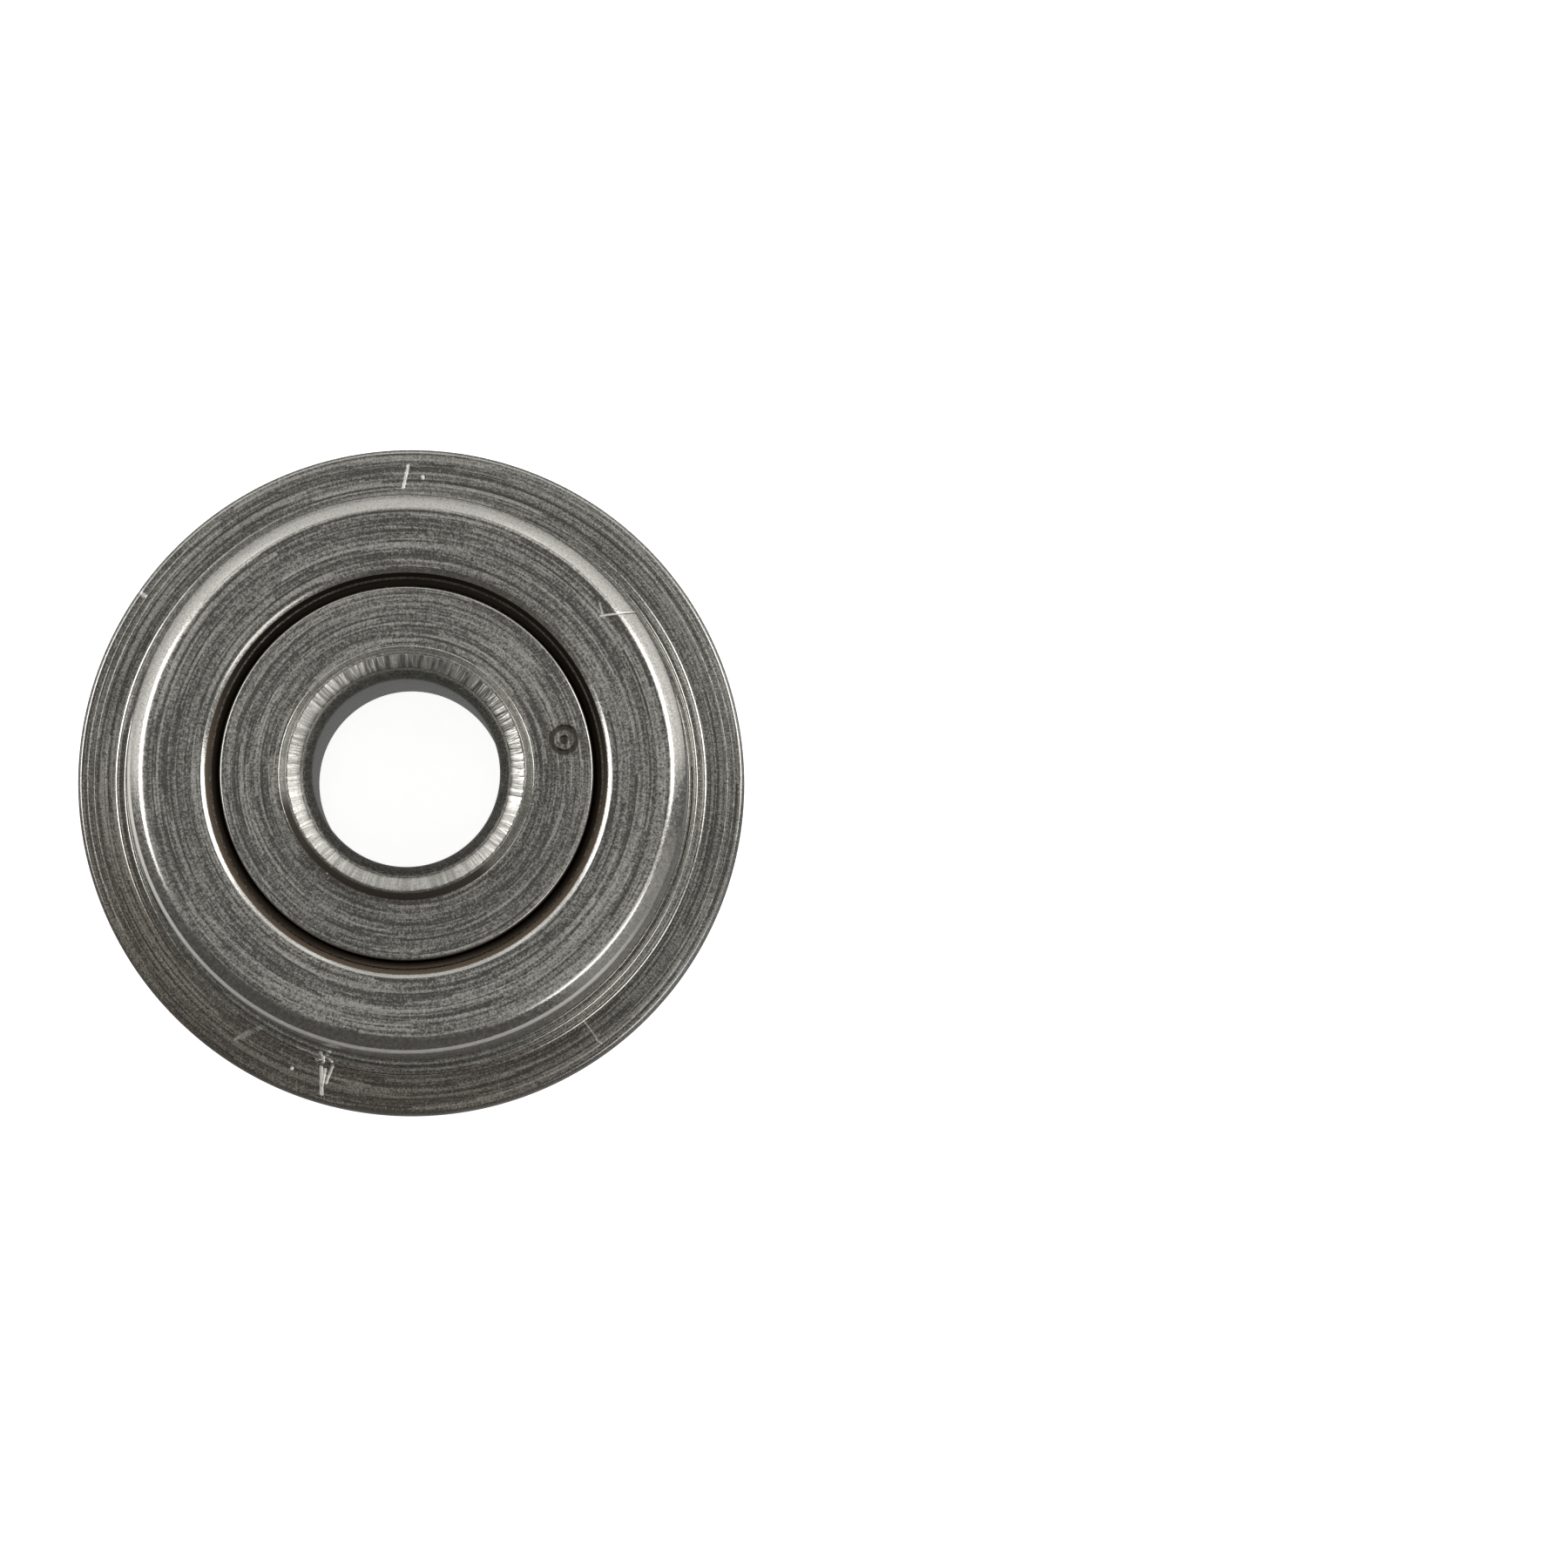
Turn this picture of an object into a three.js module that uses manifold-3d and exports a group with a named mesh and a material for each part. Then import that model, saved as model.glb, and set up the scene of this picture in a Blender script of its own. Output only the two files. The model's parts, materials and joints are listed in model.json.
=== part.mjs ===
// A miniature single-row angular contact ball bearing: an outer ring with a flange at its back, an
// inner ring with a raised collar round its bore, a one-piece cage and its balls.
//
// Millimetres, +Z along the bearing's axis. The origin is the centre of the flange's back face, and
// the boss that goes into a housing stands up from the flange. The balls carry thrust from the inner
// ring's high back shoulder up to the outer ring's high front shoulder.

import * as THREE from "three";
import { mergeVertices } from "three/addons/utils/BufferGeometryUtils.js";
import Module from "manifold-3d";

const wasm = await Module();
wasm.setup();

// ---------------------------------------------------------------- driving dimensions

const BORE_DIAMETER = 3;
const BODY_DIAMETER = 9;
const FLANGE_DIAMETER = 10.8;
const OVERALL_WIDTH = 4; // flange back face to the collar's ridge
const RING_WIDTH = 3.65; // flange back face to the boss face
const FLANGE_THICKNESS = 0.75;

const BALL_DIAMETER = 1;
const BALL_COUNT = 16;
const PITCH_DIAMETER = 6.2;
const BALL_HEIGHT = 1.85; // of the ball centres above the flange's back face
const CONTACT_ANGLE = THREE.MathUtils.degToRad(25);
const RACE_RADIUS = 0.54; // of the groove's section
const RUNNING_GAP = 0.015; // ball to race, along the line of contact

const LOW_SHOULDER_DIAMETER = 5.97; // of the inner ring, at the front
const HIGH_SHOULDER_DIAMETER = 6.14; // of the inner ring, at the back
const THRUST_SHOULDER_DIAMETER = 6.08; // of the outer ring, at the front
const COUNTERBORE_DIAMETER = 7.12; // of the outer ring, at the back
const MOUTH = { diameter: 6.46, depth: 0.35 }; // tapered front end of the gap between the rings
const MOUTH_CHAMFER = { width: 0.07, depth: 0.045 };
const INNER_RING_SETBACK = 0.05; // of its back face from the flange's

const BOSS_CHAMFER = { width: 0.24, depth: 0.2 };
const BORE_CHAMFER = 0.15; // at the back of the bore
const EDGE_BREAK = 0.05;
const FACE_EDGE_BREAK = 0.025; // where the inner ring's front face meets the gap
const FOOT_GROOVE = { width: 0.12, depth: 0.05 }; // where the boss meets the flange

const COLLAR = {
  footDiameter: 4.08,
  ridgeOuterDiameter: 3.86,
  ridgeInnerDiameter: 3.82,
  coneDiameter: 3.37,
  coneHeight: 3.87,
  throatHeight: 3.6,
};

const CAGE_INNER_DIAMETER = 6.17; // runs on the inner ring's high shoulder
const CAGE_OUTER_DIAMETER = 7.02;
const CAGE_BACK_HEIGHT = 0.7;
const CAGE_LIP = 0.25; // height of the snap-in lips above the ball centres
const POCKET_DIAMETER = 1.04;

// Turned rings have whole facets between pockets, so the sections repeat from ball to ball.
const FACETS_PER_BALL = 4;
const RING_FACETS = BALL_COUNT * FACETS_PER_BALL;
const GROOVE_STEP = THREE.MathUtils.degToRad(13);
const BALL_DETAIL = 2;
const POCKET_FACETS = 20;

const PITCH_RADIUS = PITCH_DIAMETER / 2;
const BALL_RADIUS = BALL_DIAMETER / 2;

// ---------------------------------------------------------------- finishes

const ringSteel = new THREE.MeshStandardMaterial({
  name: "ring_steel",
  color: 0x6a6b68,
  metalness: 1,
  roughness: 0.42,
});
const ballSteel = new THREE.MeshStandardMaterial({
  name: "ball_steel",
  color: 0xb9bab8,
  metalness: 1,
  roughness: 0.12,
});
const cageResin = new THREE.MeshStandardMaterial({
  name: "cage_resin",
  color: 0x4a2c18,
  metalness: 0,
  roughness: 0.6,
});

// ---------------------------------------------------------------- shape helpers

// Turns a closed section of [radius, height] points about Z. The section runs from the bore side's
// foot outwards and up, so its faces point outwards.
function turned(section) {
  const outline = [...section, section[0]].map(
    ([radius, height]) => new THREE.Vector2(radius, height),
  );
  return bare(new THREE.LatheGeometry(outline, RING_FACETS).rotateX(Math.PI / 2));
}

// A geometry with its vertices shared and nothing but positions.
function bare(geometry) {
  geometry.deleteAttribute("normal");
  geometry.deleteAttribute("uv");
  return mergeVertices(geometry, 1e-4);
}

// The section of one ball groove. The groove's centre lies off the ball's centre along the line of
// contact, on the far side from the race, so ball and race come closest on that line. side is 1 for
// the outer race and -1 for the inner one, and startRadius and endRadius are its two shoulders.
function groove(side, startRadius, startsAtTop, endRadius) {
  const offset = RACE_RADIUS - BALL_RADIUS - RUNNING_GAP;
  const centreRadius = PITCH_RADIUS - side * offset * Math.cos(CONTACT_ANGLE);
  const centreHeight = BALL_HEIGHT - side * offset * Math.sin(CONTACT_ANGLE);
  const edgeAngle = (radius) =>
    Math.acos((side * (radius - centreRadius)) / RACE_RADIUS);
  const up = startsAtTop ? 1 : -1;
  const start = up * edgeAngle(startRadius);
  const end = -up * edgeAngle(endRadius);
  const steps = Math.round(Math.abs(end - start) / GROOVE_STEP);
  return Array.from({ length: steps + 1 }, (_, step) => {
    const angle = THREE.MathUtils.lerp(start, end, step / steps);
    return [
      centreRadius + side * RACE_RADIUS * Math.cos(angle),
      centreHeight + RACE_RADIUS * Math.sin(angle),
    ];
  });
}

// ---------------------------------------------------------------- pieces

function outerRing() {
  const counterbore = COUNTERBORE_DIAMETER / 2;
  const thrustShoulder = THRUST_SHOULDER_DIAMETER / 2;
  const mouth = MOUTH.diameter / 2;
  const body = BODY_DIAMETER / 2;
  const flange = FLANGE_DIAMETER / 2;
  const grooveFoot = FLANGE_THICKNESS - FOOT_GROOVE.depth;
  return turned([
    [counterbore + EDGE_BREAK, 0],
    [flange - EDGE_BREAK, 0],
    [flange, EDGE_BREAK],
    [flange, FLANGE_THICKNESS - EDGE_BREAK],
    [flange - EDGE_BREAK, FLANGE_THICKNESS],
    [body + FOOT_GROOVE.width + FOOT_GROOVE.depth, FLANGE_THICKNESS],
    [body + FOOT_GROOVE.width, grooveFoot],
    [body, grooveFoot],
    [body, RING_WIDTH - BOSS_CHAMFER.depth],
    [body - BOSS_CHAMFER.width, RING_WIDTH],
    [mouth + MOUTH_CHAMFER.width, RING_WIDTH],
    [mouth, RING_WIDTH - MOUTH_CHAMFER.depth],
    [thrustShoulder, RING_WIDTH - MOUTH.depth],
    ...groove(1, thrustShoulder, true, counterbore),
    [counterbore, EDGE_BREAK],
  ]);
}

function innerRing() {
  const bore = BORE_DIAMETER / 2;
  const highShoulder = HIGH_SHOULDER_DIAMETER / 2;
  const lowShoulder = LOW_SHOULDER_DIAMETER / 2;
  const back = INNER_RING_SETBACK;
  return turned([
    [bore + BORE_CHAMFER, back],
    [highShoulder - EDGE_BREAK, back],
    [highShoulder, back + EDGE_BREAK],
    ...groove(-1, highShoulder, false, lowShoulder),
    [lowShoulder, RING_WIDTH - FACE_EDGE_BREAK],
    [lowShoulder - FACE_EDGE_BREAK, RING_WIDTH],
    [COLLAR.footDiameter / 2, RING_WIDTH],
    [COLLAR.ridgeOuterDiameter / 2, OVERALL_WIDTH],
    [COLLAR.ridgeInnerDiameter / 2, OVERALL_WIDTH],
    [COLLAR.coneDiameter / 2, COLLAR.coneHeight],
    [bore, COLLAR.throatHeight],
    [bore, back + BORE_CHAMFER],
  ]);
}

// A manifold-3d solid of a closed geometry.
function solid(geometry) {
  return new wasm.Manifold(
    new wasm.Mesh({
      numProp: 3,
      vertProperties: new Float32Array(geometry.getAttribute("position").array),
      triVerts: new Uint32Array(geometry.index.array),
    }),
  );
}

// A crown cage: a ring behind the balls whose fingers reach past the ball centres. Each pocket is a
// radial hole that breaks out of the front edge through a mouth narrower than its ball.
function cage() {
  const inner = CAGE_INNER_DIAMETER / 2;
  const outer = CAGE_OUTER_DIAMETER / 2;
  const front = BALL_HEIGHT + CAGE_LIP;
  let ring = solid(
    turned([
      [inner, CAGE_BACK_HEIGHT],
      [outer, CAGE_BACK_HEIGHT],
      [outer, front],
      [inner, front],
    ]),
  );
  for (let index = 0; index < BALL_COUNT; index++) {
    const drill = new THREE.CylinderGeometry(
      POCKET_DIAMETER / 2,
      POCKET_DIAMETER / 2,
      BALL_DIAMETER,
      POCKET_FACETS,
    )
      .rotateZ(Math.PI / 2)
      .translate((inner + outer) / 2, 0, BALL_HEIGHT)
      .rotateZ(ballAngle(index));
    ring = ring.subtract(solid(bare(drill)));
  }
  const mesh = ring.getMesh();
  return new THREE.BufferGeometry()
    .setAttribute("position", new THREE.BufferAttribute(mesh.vertProperties, mesh.numProp))
    .setIndex(new THREE.BufferAttribute(mesh.triVerts, 1));
}

function ballAngle(index) {
  return (index * 2 * Math.PI) / BALL_COUNT;
}

// ---------------------------------------------------------------- assembly

function named(name, geometry, material) {
  const mesh = new THREE.Mesh(geometry, material);
  mesh.name = name;
  return mesh;
}

const ballSet = new THREE.Group();
const ballGeometry = bare(new THREE.IcosahedronGeometry(BALL_RADIUS, BALL_DETAIL));
for (let index = 0; index < BALL_COUNT; index++) {
  const number = String(index + 1).padStart(2, "0");
  const ball = named(`ball_${number}`, ballGeometry, ballSteel);
  const station = new THREE.Group();
  station.rotation.z = ballAngle(index);
  ball.position.set(PITCH_RADIUS, 0, BALL_HEIGHT);
  station.add(ball);
  ballSet.add(station);
}

const bearing = new THREE.Group();
bearing.name = "angular_contact_bearing";
bearing.add(
  named("outer_ring", outerRing(), ringSteel),
  named("inner_ring", innerRing(), ringSteel),
  named("cage", cage(), cageResin),
  ballSet,
);

export default bearing;
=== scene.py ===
"""Looks for a miniature flanged angular contact bearing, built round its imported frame.

Sizes are in millimetres and become metres when a mesh is made. The bearing's axis is Z, its
flange lies on the floor and its collar points up at the camera.
"""

from __future__ import annotations

import json
import logging
import math
from dataclasses import dataclass, field
from enum import Enum

import bpy
from mathutils import Matrix, Vector

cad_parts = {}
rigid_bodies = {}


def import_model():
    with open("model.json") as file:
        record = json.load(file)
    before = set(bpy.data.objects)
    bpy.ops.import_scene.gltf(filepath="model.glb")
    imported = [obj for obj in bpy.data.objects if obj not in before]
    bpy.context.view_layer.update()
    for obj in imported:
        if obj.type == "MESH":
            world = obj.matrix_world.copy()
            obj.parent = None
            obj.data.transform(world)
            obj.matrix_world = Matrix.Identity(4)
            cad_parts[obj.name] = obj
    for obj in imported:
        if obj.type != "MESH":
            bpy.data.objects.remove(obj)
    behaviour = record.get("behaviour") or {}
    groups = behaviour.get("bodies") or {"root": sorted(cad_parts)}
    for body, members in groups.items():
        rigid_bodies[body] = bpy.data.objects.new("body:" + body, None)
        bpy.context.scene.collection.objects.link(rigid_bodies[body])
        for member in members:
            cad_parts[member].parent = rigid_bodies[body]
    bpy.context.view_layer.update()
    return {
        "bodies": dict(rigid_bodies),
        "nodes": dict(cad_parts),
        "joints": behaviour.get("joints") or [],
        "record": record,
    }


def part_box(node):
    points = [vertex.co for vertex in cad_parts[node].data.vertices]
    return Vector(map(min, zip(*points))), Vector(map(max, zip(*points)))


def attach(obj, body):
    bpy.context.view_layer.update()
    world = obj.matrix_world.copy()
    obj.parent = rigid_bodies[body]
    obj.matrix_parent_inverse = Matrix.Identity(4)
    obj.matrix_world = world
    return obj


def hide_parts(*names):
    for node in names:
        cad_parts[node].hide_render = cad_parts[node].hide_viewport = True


MM = 0.001
LOG = logging.getLogger("bearing")

# a noise keeps to the middle of its range, so its marks are drawn out to the whole of it
NOISE_RANGE = (0.3, 0.7)
ROUNDING_SEGMENTS = 4

Profile = list["Corner"]
Point = tuple[float, float, float]
Colour = tuple[float, float, float, float]


class Slot(Enum):
    """The record's material slots."""

    RING_STEEL = "ring_steel"
    BALL_STEEL = "ball_steel"
    CAGE_RESIN = "cage_resin"


# ------------------------------------------------------------------ node graphs


class Graph:
    """A thin layer over a node tree, so that a finish reads as a list of steps."""

    def __init__(self, tree: bpy.types.NodeTree) -> None:
        """Keeps the tree that the steps are added to."""
        self.tree = tree

    def node(self, kind: str, **settings: object) -> bpy.types.Node:
        """Adds a node.

        Args:
            kind: The node's type name, such as "ShaderNodeBump".
            settings: Properties of the node and their values.

        Returns:
            The new node.
        """
        made = self.tree.nodes.new(kind)
        for name, value in settings.items():
            setattr(made, name, value)
        return made

    def feed(self, socket: bpy.types.NodeSocket, value: object) -> None:
        """Links an output to a socket, or sets the socket to a plain value.

        Args:
            socket: The input that is fed.
            value: An output or a plain value.
        """
        if isinstance(value, bpy.types.NodeSocket):
            self.tree.links.new(value, socket)
        else:
            socket.default_value = value

    def feed_all(self, sockets: object, values: tuple[object, ...]) -> None:
        """Feeds several sockets, in their order.

        Args:
            sockets: The inputs that are fed.
            values: An output or a plain value for each.
        """
        for socket, value in zip(sockets, values):
            self.feed(socket, value)

    def maths(self, operation: str, *values: object) -> bpy.types.NodeSocket:
        """Works out one number.

        Args:
            operation: A Math node's operation.
            values: Outputs or plain numbers, in the node's order.

        Returns:
            The result's socket.
        """
        made = self.node("ShaderNodeMath", operation=operation)
        self.feed_all(made.inputs, values)
        return made.outputs[0]

    def vector(self, operation: str, *values: object) -> bpy.types.NodeSocket:
        """Works out one vector, or the one number that a dot product or a length gives.

        Args:
            operation: A Vector Math node's operation.
            values: Outputs or plain vectors, in the node's order.

        Returns:
            The result's socket.
        """
        made = self.node("ShaderNodeVectorMath", operation=operation)
        self.feed_all(made.inputs, values)
        return made.outputs["Value" if operation in ("DOT_PRODUCT", "LENGTH") else "Vector"]

    def scaled(self, vector: object, factor: object) -> bpy.types.NodeSocket:
        """Makes a vector longer or shorter.

        Args:
            vector: The vector.
            factor: What its length is multiplied by.

        Returns:
            The scaled vector's socket.
        """
        made = self.node("ShaderNodeVectorMath", operation="SCALE")
        self.feed(made.inputs["Vector"], vector)
        self.feed(made.inputs["Scale"], factor)
        return made.outputs["Vector"]

    def split(self, vector: object) -> tuple[bpy.types.NodeSocket, ...]:
        """The three numbers of a vector.

        Args:
            vector: The vector.

        Returns:
            The sockets of its X, Y and Z.
        """
        made = self.node("ShaderNodeSeparateXYZ")
        self.feed(made.inputs[0], vector)
        return tuple(made.outputs)

    def join(self, *values: object) -> bpy.types.NodeSocket:
        """A vector of up to three numbers, the rest of them zero.

        Args:
            values: Outputs or plain numbers.

        Returns:
            The vector's socket.
        """
        made = self.node("ShaderNodeCombineXYZ")
        self.feed_all(made.inputs, values)
        return made.outputs[0]

    def blend(self, factor: object, low: object, high: object) -> bpy.types.NodeSocket:
        """A number that goes from low to high as factor goes from 0 to 1.

        Args:
            factor: The share of the second number.
            low: The first number.
            high: The second number.

        Returns:
            The blended number's socket.
        """
        made = self.node("ShaderNodeMix", data_type="FLOAT")
        self.feed_all(made.inputs[:1] + made.inputs[2:4], (factor, low, high))
        return made.outputs[0]

    def tint(self, factor: object, low: object, high: object, how: str = "MIX") -> bpy.types.NodeSocket:
        """A colour that goes from low to high as factor goes from 0 to 1.

        Args:
            factor: The share of the second colour.
            low: The first colour.
            high: The second colour.
            how: The way the two colours are mixed.

        Returns:
            The mixed colour's socket.
        """
        made = self.node("ShaderNodeMix", data_type="RGBA", blend_type=how)
        self.feed_all(made.inputs[:1] + made.inputs[6:8], (factor, low, high))
        return made.outputs[2]

    def steps(self, value: object, start: object, end: object) -> bpy.types.NodeSocket:
        """A smooth step from 0 to 1.

        Args:
            value: What the step follows.
            start: The value at which the step is still 0.
            end: The value from which it is 1.

        Returns:
            The step's socket.
        """
        made = self.node("ShaderNodeMapRange", interpolation_type="SMOOTHSTEP")
        self.feed_all(made.inputs, (value, start, end, 0.0, 1.0))
        return made.outputs[0]

    def noise(self, vector: object, scale: object, detail: float, roughness: float) -> bpy.types.NodeSocket:
        """A soft noise, drawn out to the range from 0 to 1.

        Args:
            vector: Where the noise is read.
            scale: How dense it is.
            detail: How many finer layers it has.
            roughness: How strong those layers are.

        Returns:
            The noise's socket.
        """
        made = self.node("ShaderNodeTexNoise")
        self.feed(made.inputs["Vector"], vector)
        self.feed(made.inputs["Scale"], scale)
        self.feed(made.inputs["Detail"], detail)
        self.feed(made.inputs["Roughness"], roughness)
        return self.steps(made.outputs[0], *NOISE_RANGE)

    def group(self, tree: bpy.types.NodeTree, **values: object) -> bpy.types.Node:
        """Places a node group.

        Args:
            tree: The group's own tree.
            values: Outputs or plain values for its named inputs.

        Returns:
            The group's node.
        """
        made = self.node("ShaderNodeGroup", node_tree=tree)
        for name, value in values.items():
            self.feed(made.inputs[name], value)
        return made


def new_group(name: str, inputs: dict[str, object],
              outputs: dict[str, str]) -> tuple[Graph, bpy.types.NodeOutputs, bpy.types.NodeInputs]:
    """Starts a shader node group with named sockets.

    Args:
        name: The group's name.
        inputs: The default value of each input, a number or a vector, by name.
        outputs: Socket type of each output, by name.

    Returns:
        The group's graph, the sockets that its inputs arrive at and the sockets that it puts out.
    """
    tree = bpy.data.node_groups.new(name, "ShaderNodeTree")
    for label, value in inputs.items():
        kind = "NodeSocketVector" if isinstance(value, tuple) else "NodeSocketFloat"
        socket = tree.interface.new_socket(label, in_out="INPUT", socket_type=kind)
        socket.default_value = value
    for label, kind in outputs.items():
        tree.interface.new_socket(label, in_out="OUTPUT", socket_type=f"NodeSocket{kind}")
    graph = Graph(tree)
    return graph, graph.node("NodeGroupInput").outputs, graph.node("NodeGroupOutput").inputs


class Effects:
    """The node groups that several finishes share."""

    NOWHERE = (0.0, 0.0, 0.0)
    # along an outward chamfer radius plus height is constant, so height counts for less than radius
    HEIGHT_SHARE = 0.55

    def __init__(self) -> None:
        """Builds each group once."""
        self.place = self.build_place()
        self.turning = self.build_turning()
        self.arcs = self.build_arcs()
        self.side = self.build_side()
        self.grain = self.build_grain()
        self.stroke = self.build_stroke()
        self.punch = self.build_punch()

    def build_place(self) -> bpy.types.NodeTree:
        """Says where on the bearing a point lies, in millimetres, and which way it faces.

        Returns:
            The group "place_on_bearing".
        """
        outputs = {"Point": "Vector", "Round": "Vector", "Radius": "Float", "Height": "Float",
                   "Run": "Float", "Facing": "Float"}
        graph, _, out = new_group("place_on_bearing", {}, outputs)
        where = graph.node("ShaderNodeTexCoord").outputs
        point = graph.scaled(where["Object"], 1 / MM)
        x, y, height = graph.split(point)
        flat = graph.join(x, y)
        radius = graph.vector("LENGTH", flat)
        _, _, upwards = graph.split(where["Normal"])
        graph.feed(out["Point"], point)
        graph.feed(out["Round"], graph.vector("NORMALIZE", flat))
        graph.feed(out["Radius"], radius)
        graph.feed(out["Height"], height)
        graph.feed(out["Run"], graph.maths("MULTIPLY_ADD", height, self.HEIGHT_SHARE, radius))
        graph.feed(out["Facing"], graph.maths("ABSOLUTE", upwards))
        return graph.tree

    def build_turning(self) -> bpy.types.NodeTree:
        """The rings that a lathe tool leaves, broken into arcs.

        Returns:
            The group "turning_marks".
        """
        inputs = {"Round": self.NOWHERE, "Run": 0.0, "Pitch": 0.07, "Arcs": 3.0, "Start": 0.0}
        graph, into, out = new_group("turning_marks", inputs, {"Mark": "Float"})
        across = graph.maths("DIVIDE", into["Run"], into["Pitch"])
        across = graph.maths("ADD", across, into["Start"])
        place = graph.vector("ADD", graph.scaled(into["Round"], into["Arcs"]), graph.join(0.0, 0.0, across))
        graph.feed(out["Mark"], graph.noise(place, scale=1.0, detail=2.5, roughness=0.6))
        return graph.tree

    def build_arcs(self) -> bpy.types.NodeTree:
        """Fine lines round the axis that start and end abruptly, as a worn tool leaves them.

        Returns:
            The group "broken_arcs".
        """
        inputs = {"Round": self.NOWHERE, "Run": 0.0, "Pitch": 0.045, "Count": 8.0, "Start": 0.0}
        graph, into, out = new_group("broken_arcs", inputs, {"Mark": "Float"})
        x, y, _ = graph.split(into["Round"])
        turn = graph.maths("DIVIDE", graph.maths("ARCTAN2", y, x), 2 * math.pi)
        row = graph.maths("ADD", graph.maths("DIVIDE", into["Run"], into["Pitch"]), into["Start"])
        row = graph.maths("FLOOR", row)
        shift = graph.node("ShaderNodeTexWhiteNoise", noise_dimensions="1D")
        graph.feed(shift.inputs["W"], row)
        # the shift moves each line's ends, and the wrap keeps a line whole where the angle jumps
        turn = graph.maths("WRAP", graph.maths("ADD", turn, shift.outputs["Value"]), 1.0, 0.0)
        piece = graph.maths("FLOOR", graph.maths("MULTIPLY", turn, into["Count"]))
        shade = graph.node("ShaderNodeTexWhiteNoise", noise_dimensions="2D")
        graph.feed(shade.inputs["Vector"], graph.join(piece, row))
        graph.feed(out["Mark"], shade.outputs["Value"])
        return graph.tree

    def build_side(self) -> bpy.types.NodeTree:
        """A mask for one side of the bearing.

        Returns:
            The group "one_side".
        """
        inputs = {"Round": self.NOWHERE, "Azimuth": 0.0, "Low": -0.3, "High": 0.5}
        graph, into, out = new_group("one_side", inputs, {"Mask": "Float"})
        turned = graph.node("ShaderNodeVectorRotate", rotation_type="Z_AXIS")
        graph.feed(turned.inputs["Vector"], into["Round"])
        radians = graph.maths("RADIANS", into["Azimuth"])
        graph.feed(turned.inputs["Angle"], graph.maths("MULTIPLY", radians, -1.0))
        towards, _, _ = graph.split(turned.outputs[0])
        graph.feed(out["Mask"], graph.steps(towards, into["Low"], into["High"]))
        return graph.tree

    def build_grain(self) -> bpy.types.NodeTree:
        """The fine speckle of bare metal or resin.

        Returns:
            The group "fine_grain".
        """
        graph, into, out = new_group("fine_grain", {"Point": self.NOWHERE, "Size": 0.03}, {"Grain": "Float"})
        density = graph.maths("DIVIDE", 1.0, into["Size"])
        graph.feed(out["Grain"], graph.noise(into["Point"], density, detail=2.0, roughness=0.65))
        return graph.tree

    def build_stroke(self) -> bpy.types.NodeTree:
        """One scratch from point to point, seen from above and faint at its edges.

        Returns:
            The group "stroke".
        """
        inputs = {"Point": self.NOWHERE, "Start": self.NOWHERE, "End": (1.0, 0.0, 0.0), "Width": 0.03}
        graph, into, out = new_group("stroke", inputs, {"Mask": "Float"})
        span = graph.vector("SUBTRACT", into["End"], into["Start"])
        reach = graph.vector("SUBTRACT", self.flattened(graph, into["Point"]), into["Start"])
        share = graph.maths("DIVIDE", graph.vector("DOT_PRODUCT", reach, span),
                            graph.vector("DOT_PRODUCT", span, span))
        share = graph.maths("MINIMUM", graph.maths("MAXIMUM", share, 0.0), 1.0)
        away = graph.vector("LENGTH", graph.vector("SUBTRACT", reach, graph.scaled(span, share)))
        graph.feed(out["Mask"], self.line(graph, away, into["Width"], 0.8))
        return graph.tree

    def build_punch(self) -> bpy.types.NodeTree:
        """A small ring pressed into a face, seen from above.

        Returns:
            The group "ring_punch".
        """
        inputs = {"Point": self.NOWHERE, "Centre": self.NOWHERE, "Radius": 0.15, "Width": 0.04}
        graph, into, out = new_group("ring_punch", inputs, {"Mask": "Float"})
        reach = graph.vector("SUBTRACT", self.flattened(graph, into["Point"]), into["Centre"])
        away = graph.maths("SUBTRACT", graph.vector("LENGTH", reach), into["Radius"])
        graph.feed(out["Mask"], self.line(graph, graph.maths("ABSOLUTE", away), into["Width"], 0.7))
        return graph.tree

    @staticmethod
    def flattened(graph: Graph, point: bpy.types.NodeSocket) -> bpy.types.NodeSocket:
        """A point seen from above, with its height taken away."""
        return graph.vector("MULTIPLY", point, (1.0, 1.0, 0.0))

    @staticmethod
    def line(graph: Graph, away: bpy.types.NodeSocket, width: bpy.types.NodeSocket,
             full: float) -> bpy.types.NodeSocket:
        """A line's mask, from how far away its middle is.

        Args:
            graph: The group's graph.
            away: The distance from the line's middle.
            width: Half the line's width.
            full: How far in from the line's edge its mask is full, as a share of that half.

        Returns:
            The mask's socket.
        """
        near = graph.maths("SUBTRACT", 1.0, graph.maths("DIVIDE", away, width))
        return graph.steps(near, 0.0, full)


# ------------------------------------------------------------------ surfaces and marks


def new_material(name: str) -> tuple[bpy.types.Material, Graph, bpy.types.Node]:
    """Starts a material with one Principled shader.

    Args:
        name: The material's name.

    Returns:
        The material, its graph and the shader node.
    """
    material = bpy.data.materials.new(name)
    material.use_nodes = True
    material.node_tree.nodes.clear()
    graph = Graph(material.node_tree)
    shader = graph.node("ShaderNodeBsdfPrincipled")
    output = graph.node("ShaderNodeOutputMaterial")
    graph.feed(output.inputs["Surface"], shader.outputs[0])
    return material, graph, shader


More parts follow.
